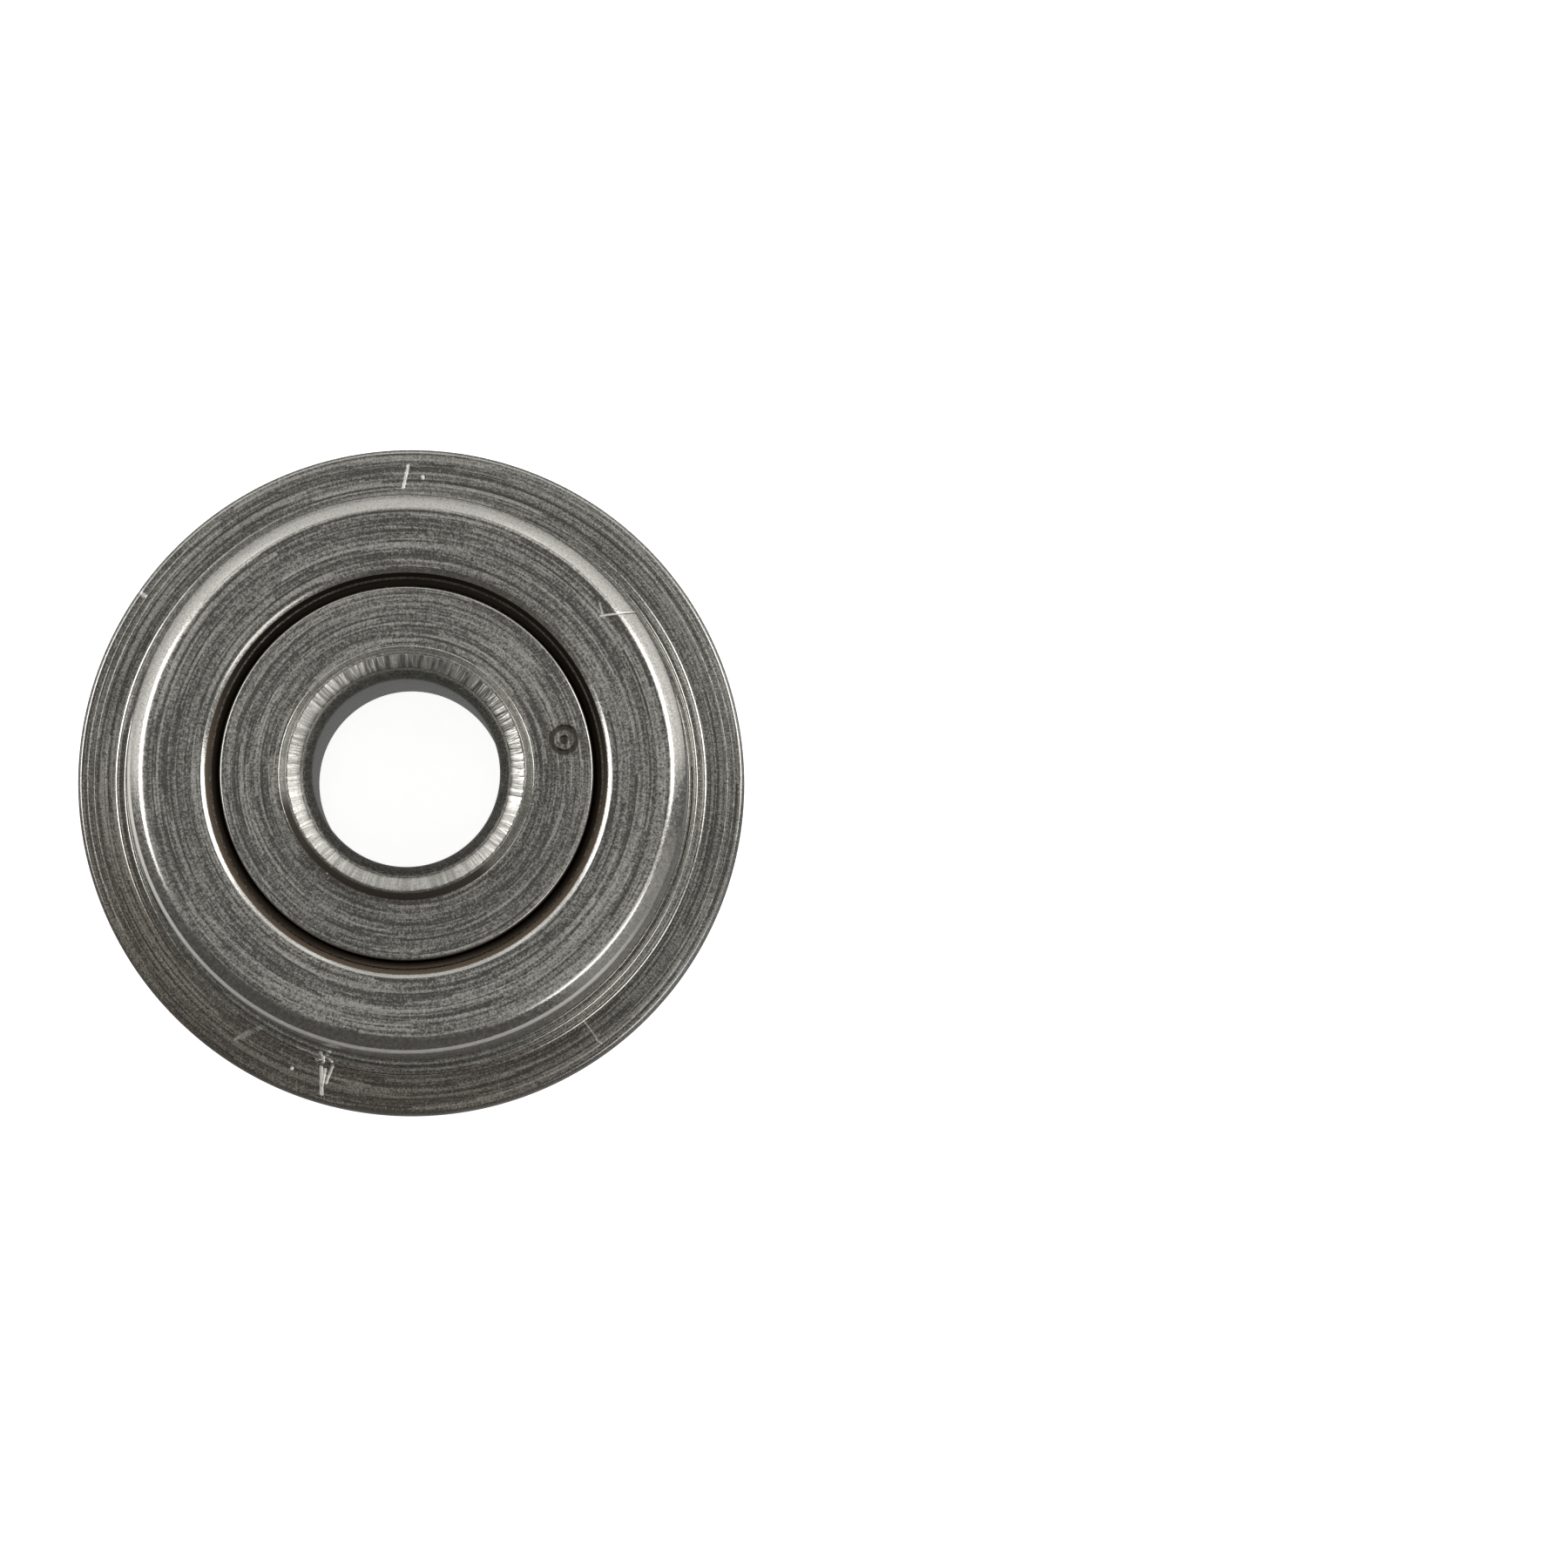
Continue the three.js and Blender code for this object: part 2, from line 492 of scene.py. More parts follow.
def set_relief(graph: Graph, shader: bpy.types.Node, height: object, depth: float) -> None:
    """Gives a shader a relief.

    Args:
        graph: The material's graph.
        shader: The shader node.
        height: The relief's height, from 0 to 1.
        depth: What a height of 1 stands for, in millimetres.
    """
    bump = graph.node("ShaderNodeBump")
    bump.inputs["Strength"].default_value = 1.0
    bump.inputs["Distance"].default_value = depth * MM
    graph.feed(bump.inputs["Height"], height)
    graph.feed(shader.inputs["Normal"], bump.outputs[0])


class Surface:
    """What a finish works out, step by step, on its way to the shader."""

    def __init__(self, graph: Graph, effects: Effects) -> None:
        """Starts with the outputs that say where a point lies and which way it faces.

        Args:
            graph: The material's graph.
            effects: The shared node groups.
        """
        self.graph = graph
        self.effects = effects
        self.spot = graph.group(effects.place).outputs
        self.colour: object = (0.0, 0.0, 0.0, 1.0)
        self.rough: object = 0.5
        self.height: object = 0.0

    def both(self, first: object, *others: object) -> bpy.types.NodeSocket:
        """The product of masks, which is 1 where all of them are.

        Args:
            first: The first mask.
            others: The other masks, or numbers that weaken the product.

        Returns:
            The product's socket.
        """
        total = first
        for other in others:
            total = self.graph.maths("MULTIPLY", total, other)
        return total

    def either(self, first: object, *others: object) -> bpy.types.NodeSocket:
        """The highest of masks, which is 1 where any of them is.

        Args:
            first: The first mask.
            others: The other masks.

        Returns:
            The joined mask's socket.
        """
        total = first
        for other in others:
            total = self.graph.maths("MAXIMUM", total, other)
        return total

    def above(self, measure: str, start: float, end: float) -> bpy.types.NodeSocket:
        """A mask that goes from 0 at start to 1 at end of a measure, such as "Radius"."""
        return self.graph.steps(self.spot[measure], start, end)

    def below(self, measure: str, start: float, end: float) -> bpy.types.NodeSocket:
        """A mask that goes from 1 at start to 0 at end of a measure."""
        return self.graph.maths("SUBTRACT", 1.0, self.above(measure, start, end))

    def between(self, measure: str, low: float, high: float) -> bpy.types.NodeSocket:
        """A mask that is 1 between two values of a measure and fades out just inside them.

        Args:
            measure: The measure.
            low: Its lowest value.
            high: Its highest value.

        Returns:
            The mask's socket.
        """
        fade = 0.015
        return self.both(self.above(measure, low, low + fade), self.below(measure, high - fade, high))

    def marks(self, pitch: float, arcs: float, start: float) -> bpy.types.NodeSocket:
        """One layer of turning marks.

        Args:
            pitch: The distance between the marks.
            arcs: How often a mark is broken on its way round.
            start: A number that moves the pattern.

        Returns:
            The marks' socket, from 0 to 1.
        """
        made = self.graph.group(self.effects.turning, Round=self.spot["Round"], Run=self.spot["Run"],
                                Pitch=pitch, Arcs=arcs, Start=start)
        return made.outputs["Mark"]

    def lines(self, pitch: float, count: float, start: float) -> bpy.types.NodeSocket:
        """One layer of crisp lines.

        Args:
            pitch: The distance between the lines.
            count: How many pieces a line has on its way round.
            start: A number that moves the pattern.

        Returns:
            The lines' socket, from 0 to 1.
        """
        made = self.graph.group(self.effects.arcs, Round=self.spot["Round"], Run=self.spot["Run"],
                                Pitch=pitch, Count=count, Start=start)
        return made.outputs["Mark"]

    def grain(self, size: float) -> bpy.types.NodeSocket:
        """One layer of speckle, from 0 to 1, with spots of a size in millimetres."""
        return self.graph.group(self.effects.grain, Point=self.spot["Point"], Size=size).outputs["Grain"]

    def paint(self, share: object, colour: object, how: str = "MIX") -> None:
        """Mixes a colour into the surface's colour.

        Args:
            share: The share of the new colour.
            colour: The new colour.
            how: The way the two colours are mixed.
        """
        self.colour = self.graph.tint(share, self.colour, colour, how)

    def roughen(self, mask: object, amount: object) -> None:
        """Adds an amount to the roughness where a mask is 1."""
        self.rough = self.graph.maths("MULTIPLY_ADD", mask, amount, self.rough)

    def lift(self, mask: object, amount: float) -> None:
        """Adds an amount to the relief where a mask is 1."""
        self.height = self.graph.maths("MULTIPLY_ADD", mask, amount, self.height)


@dataclass(frozen=True)
class Side:
    """One side of the bearing, as a mask.

    Args:
        azimuth: The side's azimuth in degrees.
        low: The cosine of the angle from that azimuth at which the mask starts.
        high: The cosine at which it is full.
    """

    azimuth: float
    low: float
    high: float

    def mask(self, surface: Surface) -> bpy.types.NodeSocket:
        """The side's mask.

        Args:
            surface: The surface that is being finished.

        Returns:
            The mask's socket.
        """
        made = surface.graph.group(surface.effects.side, Round=surface.spot["Round"],
                                   Azimuth=self.azimuth, Low=self.low, High=self.high)
        return made.outputs["Mask"]


@dataclass(frozen=True)
class Stroke:
    """A scratch on a face: its two ends, seen from above, half its width and how clear it is."""

    start: tuple[float, float]
    end: tuple[float, float]
    width: float = 0.03
    strength: float = 1.0

    def mask(self, surface: Surface) -> bpy.types.NodeSocket:
        """The scratch's mask.

        Args:
            surface: The surface that is scratched.

        Returns:
            The mask's socket.
        """
        made = surface.graph.group(surface.effects.stroke, Point=surface.spot["Point"],
                                   Start=(*self.start, 0.0), End=(*self.end, 0.0), Width=self.width)
        return surface.both(made.outputs["Mask"], self.strength)


@dataclass(frozen=True)
class Punch:
    """A ring-shaped punch mark: its centre, seen from above, its radius and half its line's width."""

    centre: tuple[float, float]
    radius: float
    width: float

    def mask(self, surface: Surface) -> bpy.types.NodeSocket:
        """The punch mark's mask.

        Args:
            surface: The surface that is pressed.

        Returns:
            The mask's socket.
        """
        made = surface.graph.group(surface.effects.punch, Point=surface.spot["Point"],
                                   Centre=(*self.centre, 0.0), Radius=self.radius, Width=self.width)
        return made.outputs["Mask"]


@dataclass(frozen=True)
class Recipe:
    """How much of each layer of marks goes into one property of the metal.

    Args:
        base: The property's value without marks.
        lines: The share of the coarse crisp lines.
        hairlines: The share of the fine ones.
        soft: The share of the soft turning marks.
        hatch: The share of the short marks.
        grain: The share of the coarse speckle.
        speckle: The share of the fine one.
    """

    base: float = 0.0
    lines: float = 0.0
    hairlines: float = 0.0
    soft: float = 0.0
    hatch: float = 0.0
    grain: float = 0.0
    speckle: float = 0.0

    def mix(self, graph: Graph, layers: dict[str, bpy.types.NodeSocket]) -> bpy.types.NodeSocket:
        """Adds the layers up.

        Args:
            graph: The material's graph.
            layers: The layers' sockets, by the names of this class's fields.

        Returns:
            The sum's socket.
        """
        total: object = self.base
        for name, layer in layers.items():
            share = getattr(self, name)
            if share:
                total = graph.maths("MULTIPLY_ADD", layer, share, total)
        return total


# ------------------------------------------------------------------ finishes


@dataclass(frozen=True)
class Chatter:
    """Marks that a shaking tool leaves across a cone, clearer on one side, where the cone also gets a
    painted highlight.

    Args:
        inner: The cone's lowest radius.
        outer: Its highest radius.
        side: The side where the marks are clearer.
        faint: How clear the marks are on the other side.
        clear: How clear they are on that side.
        side_highlight: How much painted highlight, in the bright colour, goes on that side.
        pitch: How far a mark keeps its course across the cone.
        arcs: How closely the marks follow each other round the axis.
        start: A number that moves the pattern.
        depth: The marks' depth against that of the turning marks.
        roughness: How much rougher than a chamfer the cone is.
    """

    inner: float
    outer: float
    side: Side = Side(55.0, -0.5, 0.6)
    faint: float = 0.45
    clear: float = 0.8
    side_highlight: float = 0.8
    pitch: float = 0.7
    arcs: float = 26.0
    start: float = 497.0
    depth: float = 1.3
    roughness: float = 0.17

    def add(self, surface: Surface, steel: TurnedSteel) -> None:
        """Adds the marks to a surface.

        Args:
            surface: The surface.
            steel: The steel that the cone is turned from.
        """
        cone = surface.both(surface.between("Radius", self.inner, self.outer), steel.front(surface))
        near = self.side.mask(surface)
        ripple = surface.both(cone, surface.marks(self.pitch, self.arcs, self.start),
                              surface.graph.blend(near, self.faint, self.clear))
        # painted highlight: the cone's near side is painted in the bright colour
        surface.paint(surface.both(cone, near, self.side_highlight), steel.bright)
        surface.paint(ripple, steel.dark)
        surface.lift(ripple, self.depth)
        surface.roughen(cone, self.roughness)


@dataclass(frozen=True)
class EdgeHighlight:
    """A painted highlight: an edge painted bright on one side, where it is also rougher.

    Args:
        inner: The edge's lowest radius.
        outer: Its highest radius.
        side: The side with the painted highlight.
        low: The height at which the painted highlight starts.
        high: The height from which it is full.
        roughness: How much rougher than a chamfer the edge is.
    """

    inner: float
    outer: float
    side: Side = Side(250.0, 0.0, 0.5)
    low: float = 2.0
    high: float = 2.1
    roughness: float = 0.40

    def add(self, surface: Surface, steel: TurnedSteel) -> None:
        """Paints the highlight on a surface.

        Args:
            surface: The surface.
            steel: The steel that the edge is made of.
        """
        highlighted = surface.both(surface.between("Radius", self.inner, self.outer),
                              surface.above("Height", self.low, self.high), self.side.mask(surface))
        # painted highlight: the edge is painted in the bright colour on one side
        surface.paint(highlighted, steel.bright)
        surface.roughen(highlighted, self.roughness)


@dataclass(frozen=True)
class SideShade:
    """Painted shade: the outermost face painted darker and browner on one side.

    Args:
        inner: The radius where it starts.
        full: The radius from which it is full.
        side: The side with the painted shade.
        filter: What the colour under it is multiplied by.
    """

    inner: float
    full: float
    side: Side = Side(246.0, 0.2, 0.9)
    filter: Colour = (0.83, 0.78, 0.75, 1.0)

    def add(self, surface: Surface, steel: TurnedSteel) -> None:
        """Paints the shade on a surface.

        Args:
            surface: The surface.
            steel: The steel under the painted shade.
        """
        darkened = surface.both(surface.above("Radius", self.inner, self.full), self.side.mask(surface),
                            steel.front(surface))
        # painted shade: the face is multiplied darker and browner on one side
        surface.paint(darkened, self.filter, "MULTIPLY")


@dataclass(frozen=True)
class Scratches:
    """Scratches down to fresh metal.

    Args:
        strokes: The scratches.
        facing: How squarely a surface faces the front where they start and where they are full.
        depth: Their depth against that of the turning marks.
    """

    strokes: tuple[Stroke, ...]
    facing: tuple[float, float] = (0.3, 0.6)
    depth: float = -0.8

    def add(self, surface: Surface, steel: TurnedSteel) -> None:
        """Adds the scratches to a surface.

        Args:
            surface: The surface.
            steel: The scratched steel.
        """
        worn = surface.either(*(stroke.mask(surface) for stroke in self.strokes))
        worn = surface.both(worn, steel.front(surface), surface.above("Facing", *self.facing))
        surface.paint(worn, steel.bright)
        surface.lift(worn, self.depth)


@dataclass(frozen=True)
class PunchMarks:
    """Punch marks that hold old oil.

    Args:
        punches: The marks.
        filled: How much of a mark's colour the oil makes up.
        depth: Their depth against that of the turning marks.
    """

    punches: tuple[Punch, ...]
    filled: float = 0.9
    depth: float = -4.0

    def add(self, surface: Surface, steel: TurnedSteel) -> None:
        """Adds the marks to a surface.

        Args:
            surface: The surface.
            steel: The punched steel.
        """
        pressed = surface.either(*(punch.mask(surface) for punch in self.punches))
        pressed = surface.both(pressed, steel.front(surface), steel.face(surface))
        surface.paint(surface.both(pressed, self.filled), steel.oil.thick_oil_and_shade)
        surface.lift(pressed, self.depth)


@dataclass(frozen=True)
class OilFilm:
    """The oil on the steep walls inside the bearing, with painted shade deep in the gap and on one side, and
    a darker patch on one wall.

    Args:
        thin: The colour of a thin film.
        thick_oil_and_shade: The colour of old oil in the punch marks, and of the painted shade deep in the
            gap and on one side.
        shade_colour: The colour of the darkest painted shade, on one side.
        inner: The lowest radius of the oily walls.
        outer: The highest radius of the oily walls.
        deep: The radii between which the painted shade deep in the gap fades out.
        shade_side: The side that gets painted shade.
        shade_radii: The radii between which the darkest painted shade fades in on that side.
        dark_patch: The lowest and the highest radius of a wall with a darker patch of film on one side, if
            there is one.
        dark_patch_side: The side of that wall where the patch lies.
        dark_patch_share: How far the patch goes towards the darker film colour.
        facing: How squarely a surface faces the front where the film starts to fade and where it ends.
        roughness: How much rougher than the metal the film is.
        shine: What the film adds to how metallic the surface is.
    """

    thin: Colour = (0.155, 0.118, 0.086, 1.0)
    thick_oil_and_shade: Colour = (0.064, 0.053, 0.042, 1.0)
    shade_colour: Colour = (0.016, 0.013, 0.010, 1.0)
    inner: float = 2.97
    outer: float = 3.24
    deep: tuple[float, float] = (3.05, 3.10)
    shade_side: Side = Side(80.0, -0.2, 0.7)
    shade_radii: tuple[float, float] = (3.08, 3.14)
    dark_patch: tuple[float, float] | None = None
    dark_patch_side: Side = Side(252.0, 0.35, 0.6)
    dark_patch_share: float = 0.8
    facing: tuple[float, float] = (0.64, 0.78)
    roughness: float = 0.15
    shine: float = -0.92

    def add(self, surface: Surface, shader: bpy.types.Node) -> None:
        """Adds the film to a surface and makes its shader less metallic there.

        Args:
            surface: The surface.
            shader: The surface's shader node.
        """
        graph = surface.graph
        inside = surface.between("Radius", self.inner, self.outer)
        far = self.shade_side.mask(surface)
        # painted shade: the film turns darker deep in the gap and on one side
        thick_oil_and_shade = surface.either(far, surface.below("Radius", *self.deep))
        if self.dark_patch is not None:
            patched = surface.both(surface.between("Radius", *self.dark_patch), self.dark_patch_side.mask(surface))
            inside = surface.either(inside, patched)
            thick_oil_and_shade = surface.either(thick_oil_and_shade, surface.both(patched, self.dark_patch_share))
        oily = surface.both(inside, surface.below("Facing", *self.facing))
        film = graph.tint(thick_oil_and_shade, self.thin, self.thick_oil_and_shade)
        # painted shade: the film turns nearly black on that side, further out
        film = graph.tint(surface.both(far, surface.above("Radius", *self.shade_radii)), film, self.shade_colour)
        surface.paint(oily, film)
        surface.roughen(oily, self.roughness)
        graph.feed(shader.inputs["Metallic"], graph.maths("MULTIPLY_ADD", oily, self.shine, 1.0))


@dataclass(frozen=True)
class TurnedSteel:
    """Bearing steel with turned faces, satin chamfers, ground walls and oil in its gaps.

    The faces lie square to the axis, the walls lie along it, and the chamfers are all the rest.

    Args:
        name: The material's name.
        light: The colour of clean metal.
        dark: The colour between the tool's marks.
        bright: The colour of fresh metal in a scratch, and of the painted highlights on an edge and a cone.
        face_share: How light the turned faces are against the chamfers.
        pitch: The distance between coarse turning marks.
        mark_depth: The depth of the turning marks.
        face_roughness: The roughness of the turned faces.
        chamfer_roughness: The roughness of the chamfers.
        wall_roughness: The roughness of the ground walls.
        face_facing: How squarely a face lies to the axis, where its mask starts and where it is full.
        wall_facing: How squarely a wall does, where its mask is full and where it ends.
        front_heights: The heights between which marks fade in that only the front has.
        contrast: The sums of marks that come out dark and light on a face.
        face_relief: The relief of a face.
        chamfer_relief: The relief of a chamfer.
        wall_relief: The relief of a wall.
        face_shade: How light a face is before its contrast is raised.
        chamfer_shade: How light a chamfer is.
        wall_shade: How light a wall is.
        grain_roughness: How far the grain changes the roughness of faces and chamfers, and of walls.
        start: A number that moves the pattern, so that two rings differ.
        extras: What has happened to the metal since it was turned, and its painted highlights and shade, in
            the order of the layers.
        oil: The oil film, with its painted shade, over everything else.
    """

    name: str
    light: Colour = (0.755, 0.75, 0.715, 1.0)
    dark: Colour = (0.115, 0.115, 0.106, 1.0)
    bright: Colour = (0.93, 0.92, 0.89, 1.0)
    face_share: float = 0.79
    pitch: float = 0.044
    mark_depth: float = 0.010
    face_roughness: float = 0.47
    chamfer_roughness: float = 0.24
    wall_roughness: float = 0.26
    face_facing: tuple[float, float] = (0.93, 0.99)
    wall_facing: tuple[float, float] = (0.05, 0.35)
    front_heights: tuple[float, float] = (0.3, 0.4)
    contrast: tuple[float, float] = (0.28, 0.90)
    face_relief: Recipe = Recipe(lines=0.24, hairlines=0.20, soft=0.18, hatch=0.14, speckle=0.24)
    chamfer_relief: Recipe = Recipe(soft=0.05, speckle=0.03)
    wall_relief: Recipe = Recipe(hairlines=0.05, hatch=0.02)
    face_shade: Recipe = Recipe(lines=0.28, hairlines=0.24, soft=0.04, hatch=0.10, grain=0.06, speckle=0.28)
    chamfer_shade: Recipe = Recipe(base=0.45, hairlines=0.10, grain=0.14, speckle=0.26)
    wall_shade: Recipe = Recipe(base=0.50, lines=0.10, hairlines=0.22, speckle=0.06)
    grain_roughness: tuple[float, float] = (0.10, 0.03)
    start: float = 0.0
    extras: tuple[Chatter | EdgeHighlight | SideShade | Scratches | PunchMarks, ...] = ()
    oil: OilFilm = OilFilm()

    def build(self, effects: Effects) -> bpy.types.Material:
        """Makes the material.

        Args:
            effects: The shared node groups.

        Returns:
            The material.
        """
        material, graph, shader = new_material(self.name)
        surface = Surface(graph, effects)
        self.turn(surface)
        for extra in self.extras:
            extra.add(surface, self)
        self.oil.add(surface, shader)
        graph.feed(shader.inputs["Base Color"], surface.colour)
        graph.feed(shader.inputs["Roughness"], surface.rough)
        shader.inputs["Specular IOR Level"].default_value = 0.15
        set_relief(graph, shader, surface.height, self.mark_depth)
        return material

    def face(self, surface: Surface) -> bpy.types.NodeSocket:
        """The mask of the faces that lie square to the axis."""
        return surface.above("Facing", *self.face_facing)

    def front(self, surface: Surface) -> bpy.types.NodeSocket:
        """The mask of everything in front of the back faces."""
        return surface.above("Height", *self.front_heights)

    def layers(self, surface: Surface) -> dict[str, bpy.types.NodeSocket]:
        """The layers of marks that the recipes mix.

        Args:
            surface: The surface.

        Returns:
            The layers' sockets, by the names of a recipe's fields.
        """
        return {
            "lines": surface.lines(pitch=self.pitch, count=8.0, start=self.start),
            "hairlines": surface.lines(pitch=0.6 * self.pitch, count=22.0, start=self.start + 31.0),
            "soft": surface.marks(pitch=self.pitch, arcs=2.5, start=self.start + 57.0),
            "hatch": surface.marks(pitch=0.12, arcs=90.0, start=self.start + 83.0),
            "grain": surface.grain(size=0.06),
            "speckle": surface.grain(size=0.03),
        }

    def turn(self, surface: Surface) -> None:
        """Gives a surface the look that the tool and the grinding wheel left.

        Args:
            surface: The surface.
        """
        graph = surface.graph
        layers = self.layers(surface)
        face = self.face(surface)
        wall = surface.below("Facing", *self.wall_facing)
        relief = graph.blend(face, self.chamfer_relief.mix(graph, layers),
                             self.face_relief.mix(graph, layers))
        surface.height = graph.blend(wall, relief, self.wall_relief.mix(graph, layers))
        marked = graph.steps(self.face_shade.mix(graph, layers), *self.contrast)
        marked = surface.both(marked, self.face_share)
        plain = graph.blend(wall, self.chamfer_shade.mix(graph, layers), self.wall_shade.mix(graph, layers))
        surface.colour = graph.tint(graph.blend(face, plain, marked), self.dark, self.light)
        rough = graph.blend(face, self.chamfer_roughness, self.face_roughness)
        surface.rough = graph.blend(wall, rough, self.wall_roughness)
        uneven = graph.maths("SUBTRACT", layers["grain"], 0.5)
        surface.roughen(uneven, graph.blend(wall, *self.grain_roughness))


@dataclass(frozen=True)
class LappedSteel:
    """The mirror finish of a lapped ball under a thin film of oil.

    Args:
        name: The material's name.
        clean: The colour of bare steel.
        filmed: The colour under the film.
        film_size: The size of the film's patches.
        roughness: The roughness of bare steel.
        film_roughness: How much rougher the film is.
        mark_size: The size of the lapping marks.
        mark_depth: Their depth.
    """

    name: str = "lapped_ball_steel"
    clean: Colour = (0.62, 0.61, 0.59, 1.0)
    filmed: Colour = (0.20, 0.15, 0.10, 1.0)
    film_size: float = 0.6
    roughness: float = 0.06
    film_roughness: float = 0.14
    mark_size: float = 0.03
    mark_depth: float = 0.0001

    def build(self, effects: Effects) -> bpy.types.Material:
        """Makes the material.

        Args:
            effects: The shared node groups.

        Returns:
            The material.
        """
        material, graph, shader = new_material(self.name)
        surface = Surface(graph, effects)
        film = surface.grain(self.film_size)
        rough = graph.maths("MULTIPLY_ADD", film, self.film_roughness, self.roughness)
        graph.feed(shader.inputs["Base Color"], graph.tint(film, self.clean, self.filmed))
        graph.feed(shader.inputs["Roughness"], rough)
        shader.inputs["Metallic"].default_value = 1.0
        set_relief(graph, shader, surface.grain(self.mark_size), self.mark_depth)
        return material


@dataclass(frozen=True)
class TurnedResin:
    """Oiled phenolic resin with cloth threads that show where it was turned.

    Args:
        name: The material's name.
        light: The colour of a thread.
        dark: The colour of the resin between the threads.
        shares: How much of the pattern the threads, the grain and the turning marks each make up.
        roughness: The roughness of the smoothest resin.
        grain_roughness: How much rougher the grain makes it.
        mark_depth: The depth of the pattern.
    """

    name: str = "oiled_phenolic_resin"
    light: Colour = (0.23, 0.11, 0.045, 1.0)
    dark: Colour = (0.09, 0.038, 0.016, 1.0)
    shares: tuple[float, float, float] = (0.4, 0.4, 0.2)
    roughness: float = 0.32
    grain_roughness: float = 0.2
    mark_depth: float = 0.006

    def build(self, effects: Effects) -> bpy.types.Material:
        """Makes the material.

        Args:
            effects: The shared node groups.

        Returns:
            The material.
        """
        material, graph, shader = new_material(self.name)
        surface = Surface(graph, effects)
        thread = graph.node("ShaderNodeTexWave", wave_type="BANDS", bands_direction="DIAGONAL")
        graph.feed(thread.inputs["Vector"], surface.spot["Point"])
        thread.inputs["Scale"].default_value = 4.0
        thread.inputs["Distortion"].default_value = 2.5
        thread.inputs["Detail"].default_value = 2.0
        grain = surface.grain(size=0.05)
        marks = surface.marks(pitch=0.05, arcs=3.0, start=11.0)
        shade: object = 0.0
        for layer, share in zip((thread.outputs["Fac"], grain, marks), self.shares):
            shade = graph.maths("MULTIPLY_ADD", layer, share, shade)
        rough = graph.maths("MULTIPLY_ADD", grain, self.grain_roughness, self.roughness)
        graph.feed(shader.inputs["Base Color"], graph.tint(shade, self.dark, self.light))
        graph.feed(shader.inputs["Roughness"], rough)
        shader.inputs["Coat Weight"].default_value = 0.4
        shader.inputs["Coat Roughness"].default_value = 0.12
        set_relief(graph, shader, shade, self.mark_depth)
        return material


# ------------------------------------------------------------------ turned shapes


@dataclass(frozen=True)
class Corner:
    """A corner of a section: its radius and height, and how far its rounding reaches."""

    radius: float
    height: float
    rounding: float = 0.0


@dataclass(frozen=True)
class Chamfer:
    """A chamfer: how far it reaches across the face and how far down the wall."""

    width: float
    depth: float


@dataclass(frozen=True)
class Ridge:
    """A low ring that the tool left on a face: its crest's radius, its foot's width and its height."""

    radius: float
    width: float
    height: float
    rounding: float = 0.012

    def section(self, face: float) -> Profile:
        """The ring's section.

        Args:
            face: The height of the face that it stands on.

        Returns:
            Its three corners, outwards.
        """
        return [
            Corner(self.radius - self.width / 2, face, self.rounding),
            Corner(self.radius, face + self.height, self.rounding),
            Corner(self.radius + self.width / 2, face, self.rounding),
        ]


def arc(centre: tuple[float, float], radius: float, start: float, end: float, count: int) -> Profile:
    """Corners along an arc of the section.

    Args:
        centre: The arc's centre, as radius and height.
        radius: The arc's radius.
        start: The first angle in degrees, from straight outwards towards the front.
        end: The last angle.
        count: The number of steps.

    Returns:
        The corners, with no rounding of their own.
    """
    along = []
    for step in range(count + 1):
        angle = math.radians(start + (end - start) * step / count)
        along.append(Corner(centre[0] + radius * math.cos(angle), centre[1] + radius * math.sin(angle)))
    return along


def link_mesh(name: str, points: list[Point], edges: list[tuple[int, int]],
              faces: list[tuple[int, ...]]) -> bpy.types.Object:
    """Makes an object of points in millimetres and puts it in the scene.

    Args:
        name: The object's name.
        points: The corners.
        edges: Pairs of corners.
        faces: Loops of corners.

    Returns:
        The new object.
    """
    mesh = bpy.data.meshes.new(name)
    mesh.from_pydata([tuple(value * MM for value in point) for point in points], edges, faces)
    made = bpy.data.objects.new(name, mesh)
    bpy.context.scene.collection.objects.link(made)
    return made


def turned_piece(name: str, section: Profile, steps: int) -> bpy.types.Object:
    """Turns a closed section about Z.

    The section runs up the bore side, out along the front, down the outside and back, so the faces
    point outwards.

    Args:
        name: The piece's name.
        section: The section's corners.
        steps: The number of facets round the axis.

    Returns:
        The turned piece with its modifiers live.
    """
    count = len(section)
    points = [(corner.radius, 0.0, corner.height) for corner in section]
    piece = link_mesh(name, points, [(i, (i + 1) % count) for i in range(count)], [])
    widest = max(corner.rounding for corner in section)
    weights = piece.data.attributes.new("bevel_weight_vert", "FLOAT", "POINT")
    weights.data.foreach_set("value", [corner.rounding / widest for corner in section])
    rounding = piece.modifiers.new("rounded_corners", "BEVEL")
    rounding.affect = "VERTICES"
    rounding.limit_method = "WEIGHT"
    rounding.offset_type = "OFFSET"
    rounding.width = widest * MM
    rounding.segments = ROUNDING_SEGMENTS
    turning = piece.modifiers.new("turning", "SCREW")
    turning.axis = "Z"
    turning.steps = turning.render_steps = steps
    turning.use_smooth_shade = True
    turning.use_merge_vertices = False
    return piece


def flatten_shading(piece: bpy.types.Object) -> None:
    """Adds normals that keep a piece's wide faces flat beside its rounded corners."""
    flats = piece.modifiers.new("flat_faces", "WEIGHTED_NORMAL")
    flats.mode = "FACE_AREA"


